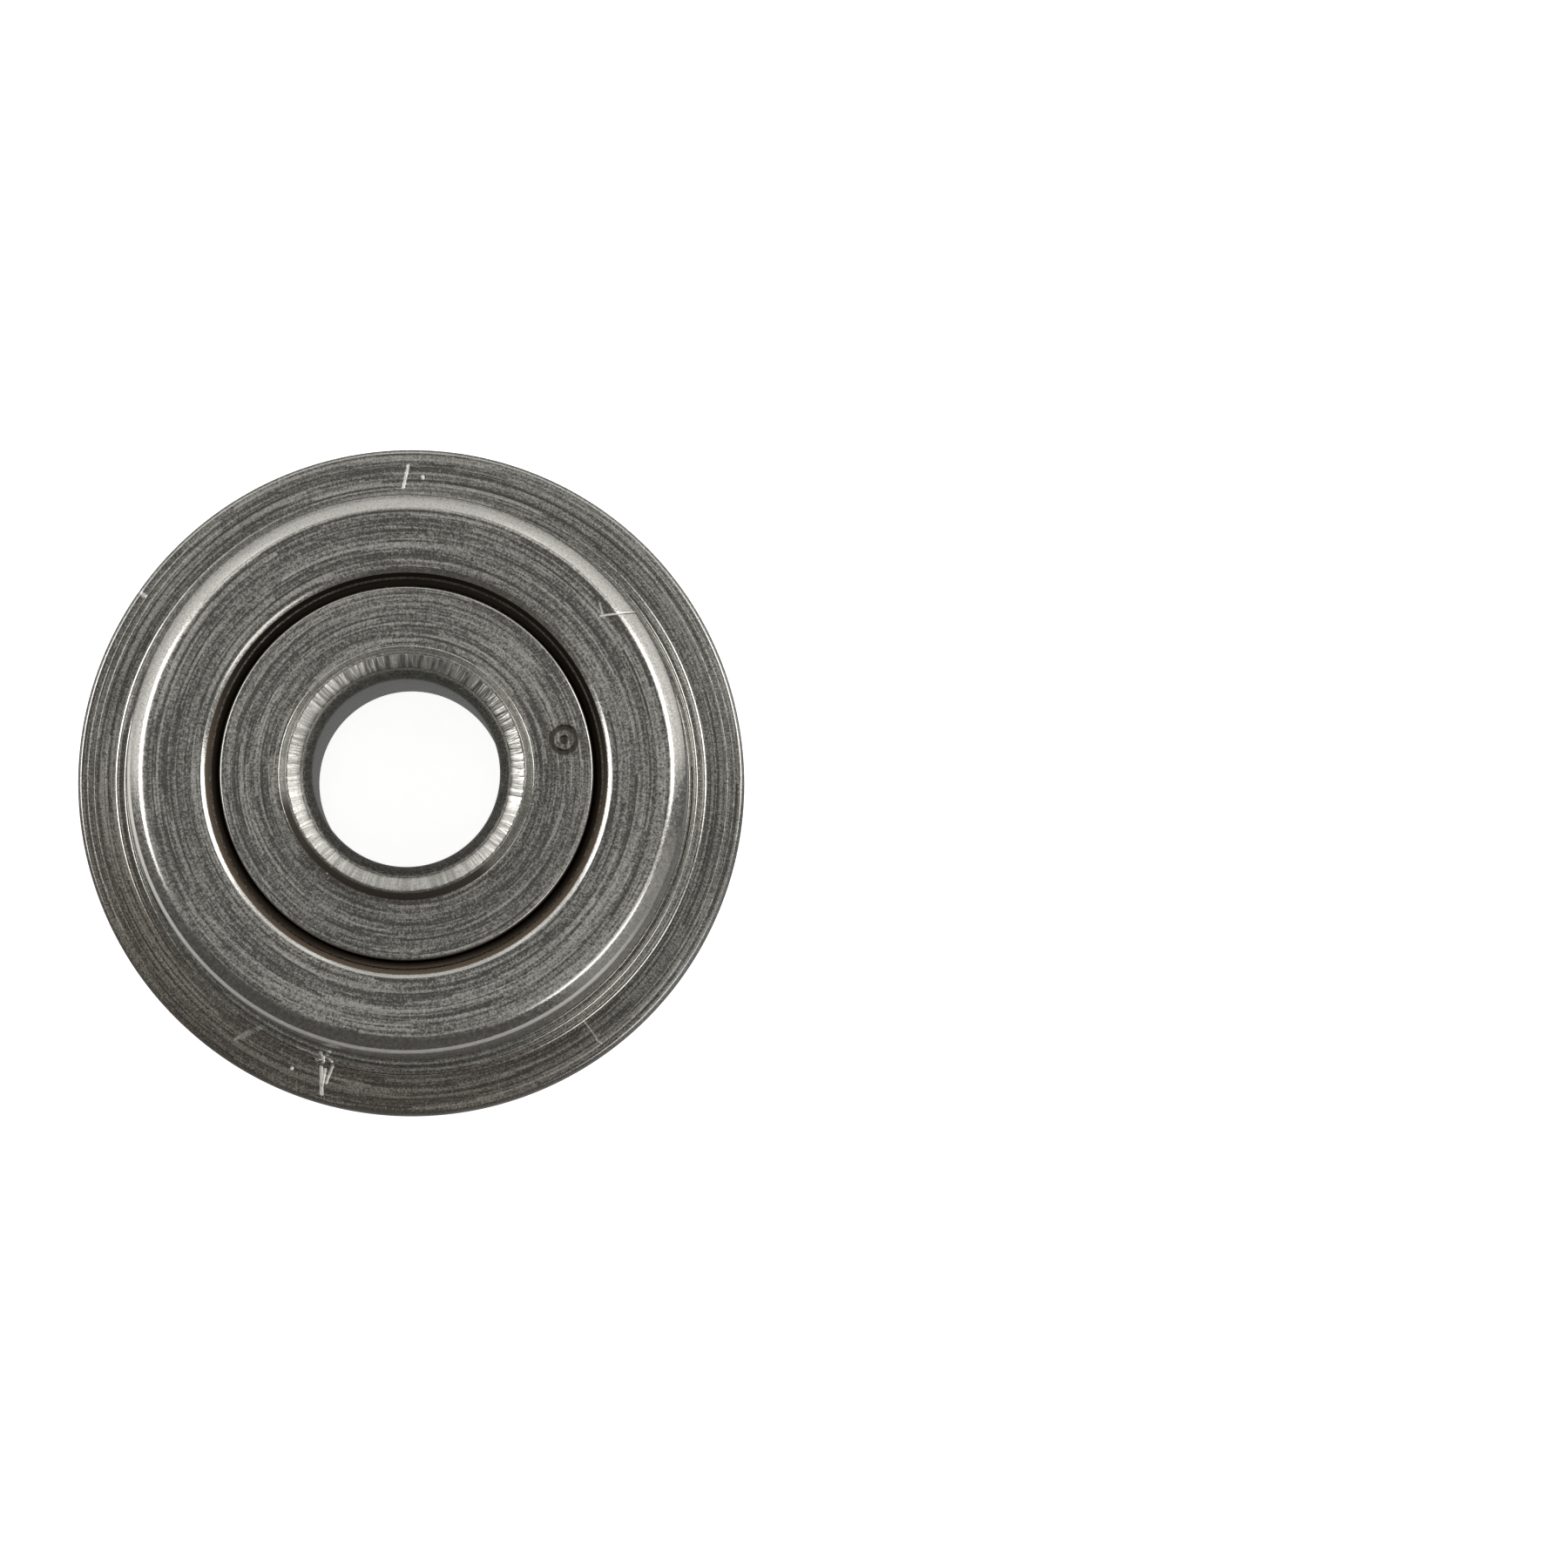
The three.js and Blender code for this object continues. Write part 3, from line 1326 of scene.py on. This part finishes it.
def apply_stack(piece: bpy.types.Object) -> None:
    """Turns a piece's modifiers into its mesh.

    Args:
        piece: The piece.
    """
    graph = bpy.context.evaluated_depsgraph_get()
    graph.update()
    finished = piece.evaluated_get(graph)
    mesh = bpy.data.meshes.new_from_object(finished, preserve_all_data_layers=True, depsgraph=graph)
    old = piece.data
    piece.modifiers.clear()
    piece.data = mesh
    mesh.name = piece.name
    bpy.data.meshes.remove(old)


def dress(piece: bpy.types.Object, material: bpy.types.Material) -> None:
    """Gives a piece its only material.

    Args:
        piece: The piece.
        material: The finish.
    """
    piece.data.materials.clear()
    piece.data.materials.append(material)


# ------------------------------------------------------------------ sub-assemblies


@dataclass
class Raceway:
    """Where the balls run, and the two grooves that guide them.

    Args:
        pitch_radius: How far the balls' centres lie from the axis.
        ball_radius: A ball's radius.
        height: How high the balls' centres lie above the flange's back.
        groove_radius: The radius of a groove's section.
        running_gap: How far a ball lies from its groove, along the line of contact.
        contact_angle: How far the line of contact leans out of the balls' plane, in degrees.
        arc_steps: The number of steps in a groove's section.
    """

    pitch_radius: float
    ball_radius: float
    height: float
    groove_radius: float = 0.54
    running_gap: float = 0.015
    contact_angle: float = 25.0
    arc_steps: int = 18

    @classmethod
    def from_frame(cls) -> Raceway:
        """Reads the balls' place and size from the frame's first ball, which lies on +X.

        Returns:
            The raceway.
        """
        low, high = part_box("ball_01")
        middle = (low + high) / 2 / MM
        return cls(pitch_radius=middle.x, ball_radius=(high.x - low.x) / 2 / MM, height=middle.z)

    def groove(self, side: int, start: float, end: float) -> Profile:
        """The section of one groove.

        Args:
            side: 1 for the outer race, -1 for the inner one.
            start: The radius of the shoulder where the groove starts.
            end: The radius of the shoulder where it ends.

        Returns:
            The corners, upwards on the outer race and downwards on the inner one.
        """
        offset = self.groove_radius - self.ball_radius - self.running_gap
        slope = math.radians(self.contact_angle)
        centre = (self.pitch_radius - side * offset * math.cos(slope),
                  self.height - side * offset * math.sin(slope))
        first = math.degrees(math.acos((start - centre[0]) / self.groove_radius))
        last = math.degrees(math.acos((end - centre[0]) / self.groove_radius))
        # the outer race runs from below the ball to above it, the inner one from above to below
        return arc(centre, self.groove_radius, -first if side > 0 else first,
                   last if side > 0 else 360 - last, self.arc_steps)


@dataclass
class OuterRing:
    """The flanged ring that sits in a housing, with the scratches that handling has left on it, a painted
    highlight on its body's edge and painted shade on one side of its flange.

    The body goes into the housing up to the flange, and its front end is the boss. The mouth is the
    tapered front end of the gap between the rings, and the foot is a groove round the body where it
    meets the flange. A ledge runs round the mouth, and low ridges run round the flange. Each rounding
    is named after the corners that it belongs to.
    """

    raceway: Raceway
    body_radius: float = 4.5
    flange_thickness: float = 0.75
    thrust_shoulder: float = 3.03
    counterbore: float = 3.56
    mouth_radius: float = 3.23
    mouth_depth: float = 0.35
    mouth_chamfer: Chamfer = Chamfer(0.07, 0.045)
    ledge_radius: float = 3.128
    ledge_width: float = 0.032
    ledge_depth: float = 0.168
    ledge_slope: float = 0.6
    boss_chamfer: Chamfer = Chamfer(0.24, 0.2)
    foot_width: float = 0.09
    foot_depth: float = 0.05
    edge_break: float = 0.05
    inner_rounding: float = 0.012
    shoulder_rounding: float = 0.02
    ledge_rounding: float = 0.006
    mouth_rounding: float = 0.016
    boss_rounding: float = 0.06
    body_rounding: float = 0.03
    foot_rounding: float = 0.02
    rim_rounding: float = 0.014
    facets: int = 256
    # width of the body edge's painted highlight
    highlight_width: float = 0.07
    # radii where the flange's painted shade starts and is full
    side_shade_radii: tuple[float, float] = (4.66, 4.71)
    ridges: tuple[Ridge, ...] = (
        Ridge(4.625, 0.060, 0.013),
        Ridge(4.760, 0.075, 0.016),
        Ridge(4.935, 0.050, 0.006),
        Ridge(5.120, 0.060, 0.009),
        Ridge(5.225, 0.070, 0.010),
    )
    strokes: tuple[Stroke, ...] = (
        Stroke((-0.05, 5.15), (-0.13, 4.78)),
        Stroke((0.185, 4.97), (0.19, 4.94), 0.035),
        Stroke((3.12, 2.53), (3.66, 2.60), 0.026),
        Stroke((3.10, 2.73), (3.16, 2.53), 0.022, 0.5),
        Stroke((-1.47, -4.37), (-1.45, -4.41), 0.034),
        Stroke((-1.32, -4.37), (-1.35, -4.41), 0.034),
        Stroke((-1.52, -4.50), (-1.49, -4.50), 0.034),
        Stroke((-1.42, -4.45), (-1.42, -4.53), 0.040),
        Stroke((-1.31, -4.50), (-1.28, -4.53), 0.034),
        Stroke((-1.45, -4.62), (-1.44, -5.06), 0.040),
        Stroke((-1.39, -4.66), (-1.44, -4.92), 0.040),
        Stroke((-1.26, -4.60), (-1.37, -4.88), 0.028, 0.8),
        Stroke((-1.92, -4.63), (-1.93, -4.65), 0.035),
        Stroke((-2.39, -3.95), (-2.75, -4.14), 0.055, 0.30),
        Stroke((-2.60, -4.02), (-2.85, -4.17), 0.040, 0.35),
        Stroke((2.80, -3.85), (3.06, -4.21), 0.018, 0.5),
        Stroke((3.02, -4.18), (3.10, -4.22), 0.03, 0.5),
        Stroke((-4.33, 3.03), (-4.43, 3.11), 0.05),
    )

    def build(self, effects: Effects) -> bpy.types.Object:
        """Makes and dresses the ring.

        Args:
            effects: The shared node groups.

        Returns:
            The ring.
        """
        _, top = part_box("outer_ring")
        piece = turned_piece("outer_ring_turned", self.section(top.x / MM, top.z / MM), self.facets)
        flatten_shading(piece)
        finish = TurnedSteel("turned_outer_ring_steel", extras=(
            # painted highlight on one side of the body's front edge
            EdgeHighlight(self.body_radius - self.highlight_width, self.body_radius),
            # painted shade on one side of the flange
            SideShade(*self.side_shade_radii),
            Scratches(self.strokes),
        ))
        dress(piece, finish.build(effects))
        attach(piece, "outer_ring")
        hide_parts("outer_ring")
        return piece

    def section(self, rim: float, front: float) -> Profile:
        """The ring's section.

        Args:
            rim: The flange's radius.
            front: The height of the boss face.

        Returns:
            The closed section, up its inner side first.
        """
        seat = self.flange_thickness
        foot = seat - self.foot_depth
        ledge = front - self.ledge_depth
        broken = self.edge_break
        ledge_end = self.ledge_radius + self.ledge_width
        return [
            Corner(self.counterbore + broken, 0.0, self.inner_rounding),
            Corner(self.counterbore, broken, self.inner_rounding),
            *self.raceway.groove(1, self.counterbore, self.thrust_shoulder),
            Corner(self.thrust_shoulder, front - self.mouth_depth, self.shoulder_rounding),
            Corner(self.ledge_radius, ledge, self.ledge_rounding),
            Corner(ledge_end, ledge + self.ledge_slope * self.ledge_width, self.ledge_rounding),
            Corner(self.mouth_radius, front - self.mouth_chamfer.depth, self.inner_rounding),
            Corner(self.mouth_radius + self.mouth_chamfer.width, front, self.mouth_rounding),
            Corner(self.body_radius - self.boss_chamfer.width, front, self.boss_rounding),
            Corner(self.body_radius, front - self.boss_chamfer.depth, self.body_rounding),
            Corner(self.body_radius, foot, self.body_rounding),
            Corner(self.body_radius + self.foot_width, foot, self.foot_rounding),
            *[corner for ridge in self.ridges for corner in ridge.section(seat)],
            Corner(rim - broken, seat, self.rim_rounding),
            Corner(rim, seat - broken, self.rim_rounding),
            Corner(rim, broken, self.rim_rounding),
            Corner(rim - broken, 0.0, self.rim_rounding),
        ]


@dataclass
class InnerRing:
    """The ring that sits on a shaft, with its raised collar and what has been pressed into it.

    The collar rises from its foot to a narrow ridge, from which a cone leads down and in to the throat
    of the bore. The low shoulder guides the balls at the front, the high one at the back. Each rounding
    is named after the corners that it belongs to.
    """

    raceway: Raceway
    bore_radius: float = 1.5
    low_shoulder: float = 3.0
    high_shoulder: float = 3.07
    face_height: float = 3.65
    collar_foot: float = 2.04
    ridge_outer: float = 1.93
    ridge_inner: float = 1.905
    cone_radius: float = 1.685
    cone_height: float = 3.87
    throat_height: float = 3.6
    bore_chamfer: float = 0.15
    front_break: float = 0.025
    back_break: float = 0.05
    chamfer_rounding: float = 0.02
    bore_rounding: float = 0.03
    throat_rounding: float = 0.06
    cone_rounding: float = 0.09
    ridge_rounding: float = 0.008
    foot_rounding: float = 0.02
    front_rounding: float = 0.01
    back_rounding: float = 0.012
    facets: int = 256
    # how far the darker patch of film reaches past the collar's foot
    dark_patch_reach: float = 0.02
    strokes: tuple[Stroke, ...] = (Stroke((-1.20, -1.51), (-1.26, -1.60), 0.02),)
    punches: tuple[Punch, ...] = (Punch((2.53, 0.53), 0.20, 0.06), Punch((2.53, 0.53), 0.03, 0.06))

    def build(self, effects: Effects) -> bpy.types.Object:
        """Makes and dresses the ring.

        Args:
            effects: The shared node groups.

        Returns:
            The ring.
        """
        low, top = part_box("inner_ring")
        piece = turned_piece("inner_ring_turned", self.section(low.z / MM, top.z / MM), self.facets)
        flatten_shading(piece)
        # a darker patch of film on one side of the collar's wall and the corner at its foot
        dark_patch = (self.ridge_outer, self.collar_foot + self.dark_patch_reach)
        # the cone's chatter marks carry a painted highlight on one side
        finish = TurnedSteel("turned_inner_ring_steel", face_share=0.71, start=400.0, oil=OilFilm(dark_patch=dark_patch),
                             extras=(Chatter(self.cone_radius, self.ridge_inner), Scratches(self.strokes),
                                     PunchMarks(self.punches)))
        dress(piece, finish.build(effects))
        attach(piece, "inner_ring")
        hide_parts("inner_ring")
        return piece

    def section(self, back: float, ridge: float) -> Profile:
        """The ring's section.

        Args:
            back: The height of its back face.
            ridge: The height of the collar's ridge.

        Returns:
            The closed section, up its bore first.
        """
        return [
            Corner(self.bore_radius + self.bore_chamfer, back, self.chamfer_rounding),
            Corner(self.bore_radius, back + self.bore_chamfer, self.bore_rounding),
            Corner(self.bore_radius, self.throat_height, self.throat_rounding),
            Corner(self.cone_radius, self.cone_height, self.cone_rounding),
            Corner(self.ridge_inner, ridge, self.ridge_rounding),
            Corner(self.ridge_outer, ridge, self.ridge_rounding),
            Corner(self.collar_foot, self.face_height, self.foot_rounding),
            Corner(self.low_shoulder - self.front_break, self.face_height, self.front_rounding),
            Corner(self.low_shoulder, self.face_height - self.front_break, self.front_rounding),
            *self.raceway.groove(-1, self.low_shoulder, self.high_shoulder),
            Corner(self.high_shoulder, back + self.back_break, self.back_rounding),
            Corner(self.high_shoulder - self.back_break, back, self.back_rounding),
        ]


@dataclass
class Cage:
    """The one-piece crown cage that keeps the balls apart.

    It is turned, and then drilled from outside. The drills overrun its walls on both sides.
    """

    raceway: Raceway
    inner_radius: float = 3.085
    outer_radius: float = 3.51
    pocket_radius: float = 0.52
    drill_overrun: float = 0.3
    back_rounding: float = 0.02
    edge_rounding: float = 0.012
    edge_angle: float = 35.0
    facets: int = 192
    drill_sides: int = 48

    def build(self, effects: Effects, balls: int) -> bpy.types.Object:
        """Makes and dresses the cage.

        Args:
            effects: The shared node groups.
            balls: The number of balls.

        Returns:
            The cage.
        """
        low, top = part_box("cage")
        piece = turned_piece("cage_turned", self.section(low.z / MM, top.z / MM), self.facets)
        drills = self.drills(balls)
        cut = piece.modifiers.new("pockets", "BOOLEAN")
        cut.operation = "DIFFERENCE"
        cut.solver = "EXACT"
        cut.object = drills
        apply_stack(piece)
        bpy.data.objects.remove(drills)
        edges = piece.modifiers.new("softened_edges", "BEVEL")
        edges.limit_method = "ANGLE"
        edges.angle_limit = math.radians(self.edge_angle)
        edges.width = self.edge_rounding * MM
        edges.segments = 2
        flatten_shading(piece)
        dress(piece, TurnedResin().build(effects))
        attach(piece, "cage")
        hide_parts("cage")
        return piece

    def section(self, back: float, front: float) -> Profile:
        """The section of the ring before its pockets are cut.

        Args:
            back: The height of its back face.
            front: The height of its lips.

        Returns:
            The closed section, up its inner side first.
        """
        return [
            Corner(self.inner_radius, back, self.back_rounding),
            Corner(self.inner_radius, front),
            Corner(self.outer_radius, front),
            Corner(self.outer_radius, back, self.back_rounding),
        ]

    def drills(self, balls: int) -> bpy.types.Object:
        """The radial cylinders that cut the pockets, in one object.

        Args:
            balls: The number of pockets.

        Returns:
            The object, which is removed once it has cut the pockets.
        """
        points: list[Point] = []
        faces: list[tuple[int, ...]] = []
        near, far = self.inner_radius - self.drill_overrun, self.outer_radius + self.drill_overrun
        for ball in range(balls):
            turn = Matrix.Rotation(2 * math.pi * ball / balls, 3, "Z")
            start = len(points)
            for side in range(self.drill_sides):
                angle = 2 * math.pi * side / self.drill_sides
                across = self.pocket_radius * math.cos(angle)
                up = self.raceway.height + self.pocket_radius * math.sin(angle)
                points += [tuple(turn @ Vector((reach, across, up))) for reach in (near, far)]
            ring = [start + 2 * side for side in range(self.drill_sides)]
            faces.append(tuple(reversed(ring)))
            faces.append(tuple(corner + 1 for corner in ring))
            for here, there in zip(ring, ring[1:] + ring[:1]):
                faces.append((here, there, there + 1, here + 1))
        return link_mesh("pocket_drills", points, [], faces)


@dataclass
class BallSet:
    """The balls, each a cube that is rounded to a sphere."""

    raceway: Raceway
    levels: int = 4

    def build(self, effects: Effects, names: list[str]) -> list[bpy.types.Object]:
        """Makes and dresses the balls.

        Args:
            effects: The shared node groups.
            names: The balls' nodes in the frame.

        Returns:
            The balls.
        """
        material = LappedSteel().build(effects)
        balls = []
        for name in names:
            low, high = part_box(name)
            ball = self.ball(f"{name}_lapped", (low + high) / 2)
            dress(ball, material)
            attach(ball, name)
            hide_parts(name)
            balls.append(ball)
        return balls

    def ball(self, name: str, centre: Vector) -> bpy.types.Object:
        """One ball.

        Args:
            name: The piece's name.
            centre: The ball's centre, in metres.

        Returns:
            The ball, with its place in its mesh.
        """
        half = self.raceway.ball_radius
        points = [(x, y, z) for x in (-half, half) for y in (-half, half) for z in (-half, half)]
        faces = [(0, 1, 3, 2), (4, 6, 7, 5), (0, 4, 5, 1), (2, 3, 7, 6), (0, 2, 6, 4), (1, 5, 7, 3)]
        piece = link_mesh(name, points, [], faces)
        smooth = piece.modifiers.new("rounding", "SUBSURF")
        smooth.levels = smooth.render_levels = self.levels
        sphere = piece.modifiers.new("sphere", "CAST")
        sphere.cast_type = "SPHERE"
        sphere.factor = 1.0
        sphere.use_radius_as_size = False
        sphere.size = half * MM
        apply_stack(piece)
        piece.data.transform(Matrix.Translation(centre))
        piece.data.shade_smooth()
        return piece


# ------------------------------------------------------------------ studio


@dataclass(frozen=True)
class SoftBox:
    """A soft light: where it stands round the bearing, how wide it looks from there and how bright.

    Args:
        name: The light's name.
        azimuth: Its azimuth in degrees.
        elevation: Its elevation.
        width: The angle that its width covers, seen from the bearing.
        height: The angle that its height covers.
        radiance: How bright its surface is.
        colour: Its colour.
    """

    name: str
    azimuth: float
    elevation: float
    width: float
    height: float
    radiance: float
    colour: tuple[float, float, float] = (1.0, 0.985, 0.96)

    def place(self, centre: Vector, distance: float) -> None:
        """Puts the light in the scene, facing the bearing.

        Args:
            centre: The point that it faces, in metres.
            distance: How far from there it stands, in metres.
        """
        azimuth, elevation = math.radians(self.azimuth), math.radians(self.elevation)
        towards = Vector((math.cos(azimuth) * math.cos(elevation), math.sin(azimuth) * math.cos(elevation),
                          math.sin(elevation)))
        light = bpy.data.lights.new(self.name, "AREA")
        light.shape = "RECTANGLE"
        light.size = 2 * distance * math.tan(math.radians(self.width / 2))
        light.size_y = 2 * distance * math.tan(math.radians(self.height / 2))
        light.color = self.colour
        light.energy = self.radiance * math.pi * light.size * light.size_y
        lamp = bpy.data.objects.new(self.name, light)
        lamp.location = centre + towards * distance
        lamp.rotation_euler = towards.to_track_quat("Z", "Y").to_euler()
        lamp.visible_camera = False
        bpy.context.scene.collection.objects.link(lamp)


@dataclass(frozen=True)
class Camera:
    """The camera, almost on the bearing's axis, with the bearing left of the middle.

    Args:
        reach: How high above the boss face it stands.
        lean: How far it stands off the axis in X and Y, as shares of that height.
        aim: The point of the boss face's plane that it looks at, from the axis.
        frame_width: How wide the picture is there.
    """

    reach: float = 268.0
    lean: tuple[float, float] = (0.0265, -0.0506)
    aim: tuple[float, float] = (6.057, -0.176)
    frame_width: float = 25.14

    def place(self, front: Vector) -> None:
        """Puts the camera in the scene.

        Args:
            front: The centre of the boss face, in metres.
        """
        place = front + Vector((*self.lean, 1.0)) * (self.reach * MM)
        aim = front + Vector((*self.aim, 0.0)) * MM
        back = (place - aim).normalized()
        across = Vector((0.0, 1.0, 0.0)).cross(back).normalized()
        up = back.cross(across)
        data = bpy.data.cameras.new("camera")
        data.lens = data.sensor_width * (place - aim).length / (self.frame_width * MM)
        data.clip_start, data.clip_end = 0.01, 10.0
        camera = bpy.data.objects.new("camera", data)
        camera.matrix_world = Matrix.Translation(place) @ Matrix((across, up, back)).transposed().to_4x4()
        bpy.context.scene.collection.objects.link(camera)
        bpy.context.scene.camera = camera
        bpy.context.scene.view_settings.view_transform = "Standard"


@dataclass
class Studio:
    """The floor, the soft lights and the camera.

    Args:
        distance: How far the lights stand from the bearing, in metres.
        floor_half: Half the floor's width.
        floor_drop: How far the floor lies under the flange.
        floor_shade: How light the floor's paper is.
        floor_glow: How much it glows by itself.
        mirrored_floor: How bright it is where metal mirrors it.
        backdrop: The colour behind the floor.
        surroundings: The colour of the room that the metal mirrors.
        boxes: The soft lights.
    """

    distance: float = 0.35
    floor_half: float = 1500.0
    floor_drop: float = 0.002
    floor_shade: float = 0.9
    floor_glow: float = 0.86
    mirrored_floor: float = 0.16
    backdrop: Colour = (1.0, 1.0, 1.0, 1.0)
    surroundings: Colour = (0.10, 0.094, 0.086, 1.0)
    boxes: tuple[SoftBox, ...] = (
        SoftBox("right_key", 16, 38, 30, 26, 4.0),
        SoftBox("left_key", 171, 38, 36, 26, 4.0),
        SoftBox("right_fill", 35, 20, 62, 38, 0.86),
        SoftBox("rear_fill", 95, 20, 58, 38, 0.78),
        SoftBox("left_fill", 152, 20, 56, 38, 0.86),
        SoftBox("front_spot", 319, 42, 26, 18, 3.0),
        SoftBox("side_fill", 328, 14, 40, 26, 0.28),
        SoftBox("overhead", 90, 85, 60, 60, 0.17),
    )

    def build(self, front: Vector) -> None:
        """Sets up the studio round the bearing.

        Args:
            front: The centre of the boss face, in metres.
        """
        self.world()
        self.floor()
        for box in self.boxes:
            box.place(front, self.distance)
        Camera().place(front)

    def world(self) -> None:
        """Dim surroundings for the metal to mirror, and a pale backdrop behind the floor."""
        world = bpy.data.worlds.new("studio")
        world.use_nodes = True
        world.node_tree.nodes.clear()
        graph = Graph(world.node_tree)
        seen = graph.node("ShaderNodeLightPath").outputs["Is Camera Ray"]
        background = graph.node("ShaderNodeBackground")
        graph.feed(background.inputs["Color"], graph.tint(seen, self.surroundings, self.backdrop))
        output = graph.node("ShaderNodeOutputWorld")
        graph.feed(output.inputs["Surface"], background.outputs[0])
        bpy.context.scene.world = world

    def floor(self) -> None:
        """A plain pale floor just under the flange."""
        half, drop = self.floor_half, -self.floor_drop
        edge = [(-half, -half, drop), (half, -half, drop), (half, half, drop), (-half, half, drop)]
        floor = link_mesh("floor", edge, [], [(0, 1, 2, 3)])
        floor.data.materials.append(self.paper())

    def paper(self) -> bpy.types.Material:
        """The floor's paper, which metal mirrors as a darker table than the paper that shows.

        Returns:
            The material.
        """
        material, graph, shader = new_material("pale_paper")
        shade = self.floor_shade
        shader.inputs["Base Color"].default_value = (shade, shade, shade, 1.0)
        shader.inputs["Roughness"].default_value = 0.9
        shader.inputs["Emission Color"].default_value = (1.0, 1.0, 1.0, 1.0)
        shader.inputs["Emission Strength"].default_value = self.floor_glow
        table = graph.node("ShaderNodeEmission")
        table.inputs["Strength"].default_value = self.mirrored_floor
        choice = graph.node("ShaderNodeMixShader")
        mirrored = graph.node("ShaderNodeLightPath").outputs["Is Glossy Ray"]
        graph.feed_all(choice.inputs, (mirrored, shader.outputs[0], table.outputs[0]))
        output = material.node_tree.get_output_node("ALL")
        graph.feed(output.inputs["Surface"], choice.outputs[0])
        return material


# ------------------------------------------------------------------ the bearing


@dataclass
class Bearing:
    """The whole bearing, dressed piece by piece."""

    frame: dict
    pieces: list[bpy.types.Object] = field(default_factory=list)

    def build(self) -> None:
        """Builds every piece in order and reports each one."""
        effects = Effects()
        raceway = Raceway.from_frame()
        balls = sorted(name for name in self.frame["nodes"] if name.startswith("ball_"))
        self.pieces.append(OuterRing(raceway).build(effects))
        self.pieces.append(InnerRing(raceway).build(effects))
        self.pieces.append(Cage(raceway).build(effects, len(balls)))
        self.pieces.extend(BallSet(raceway).build(effects, balls))
        for piece in self.pieces:
            LOG.info("built %s", piece.name)


def main() -> None:
    logging.basicConfig(level=logging.INFO, format="%(name)s: %(message)s")
    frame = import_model()
    _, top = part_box("outer_ring")
    Bearing(frame).build()
    Studio().build(Vector((0.0, 0.0, top.z)))
    bpy.context.view_layer.update()


if __name__ == "__main__":
    main()
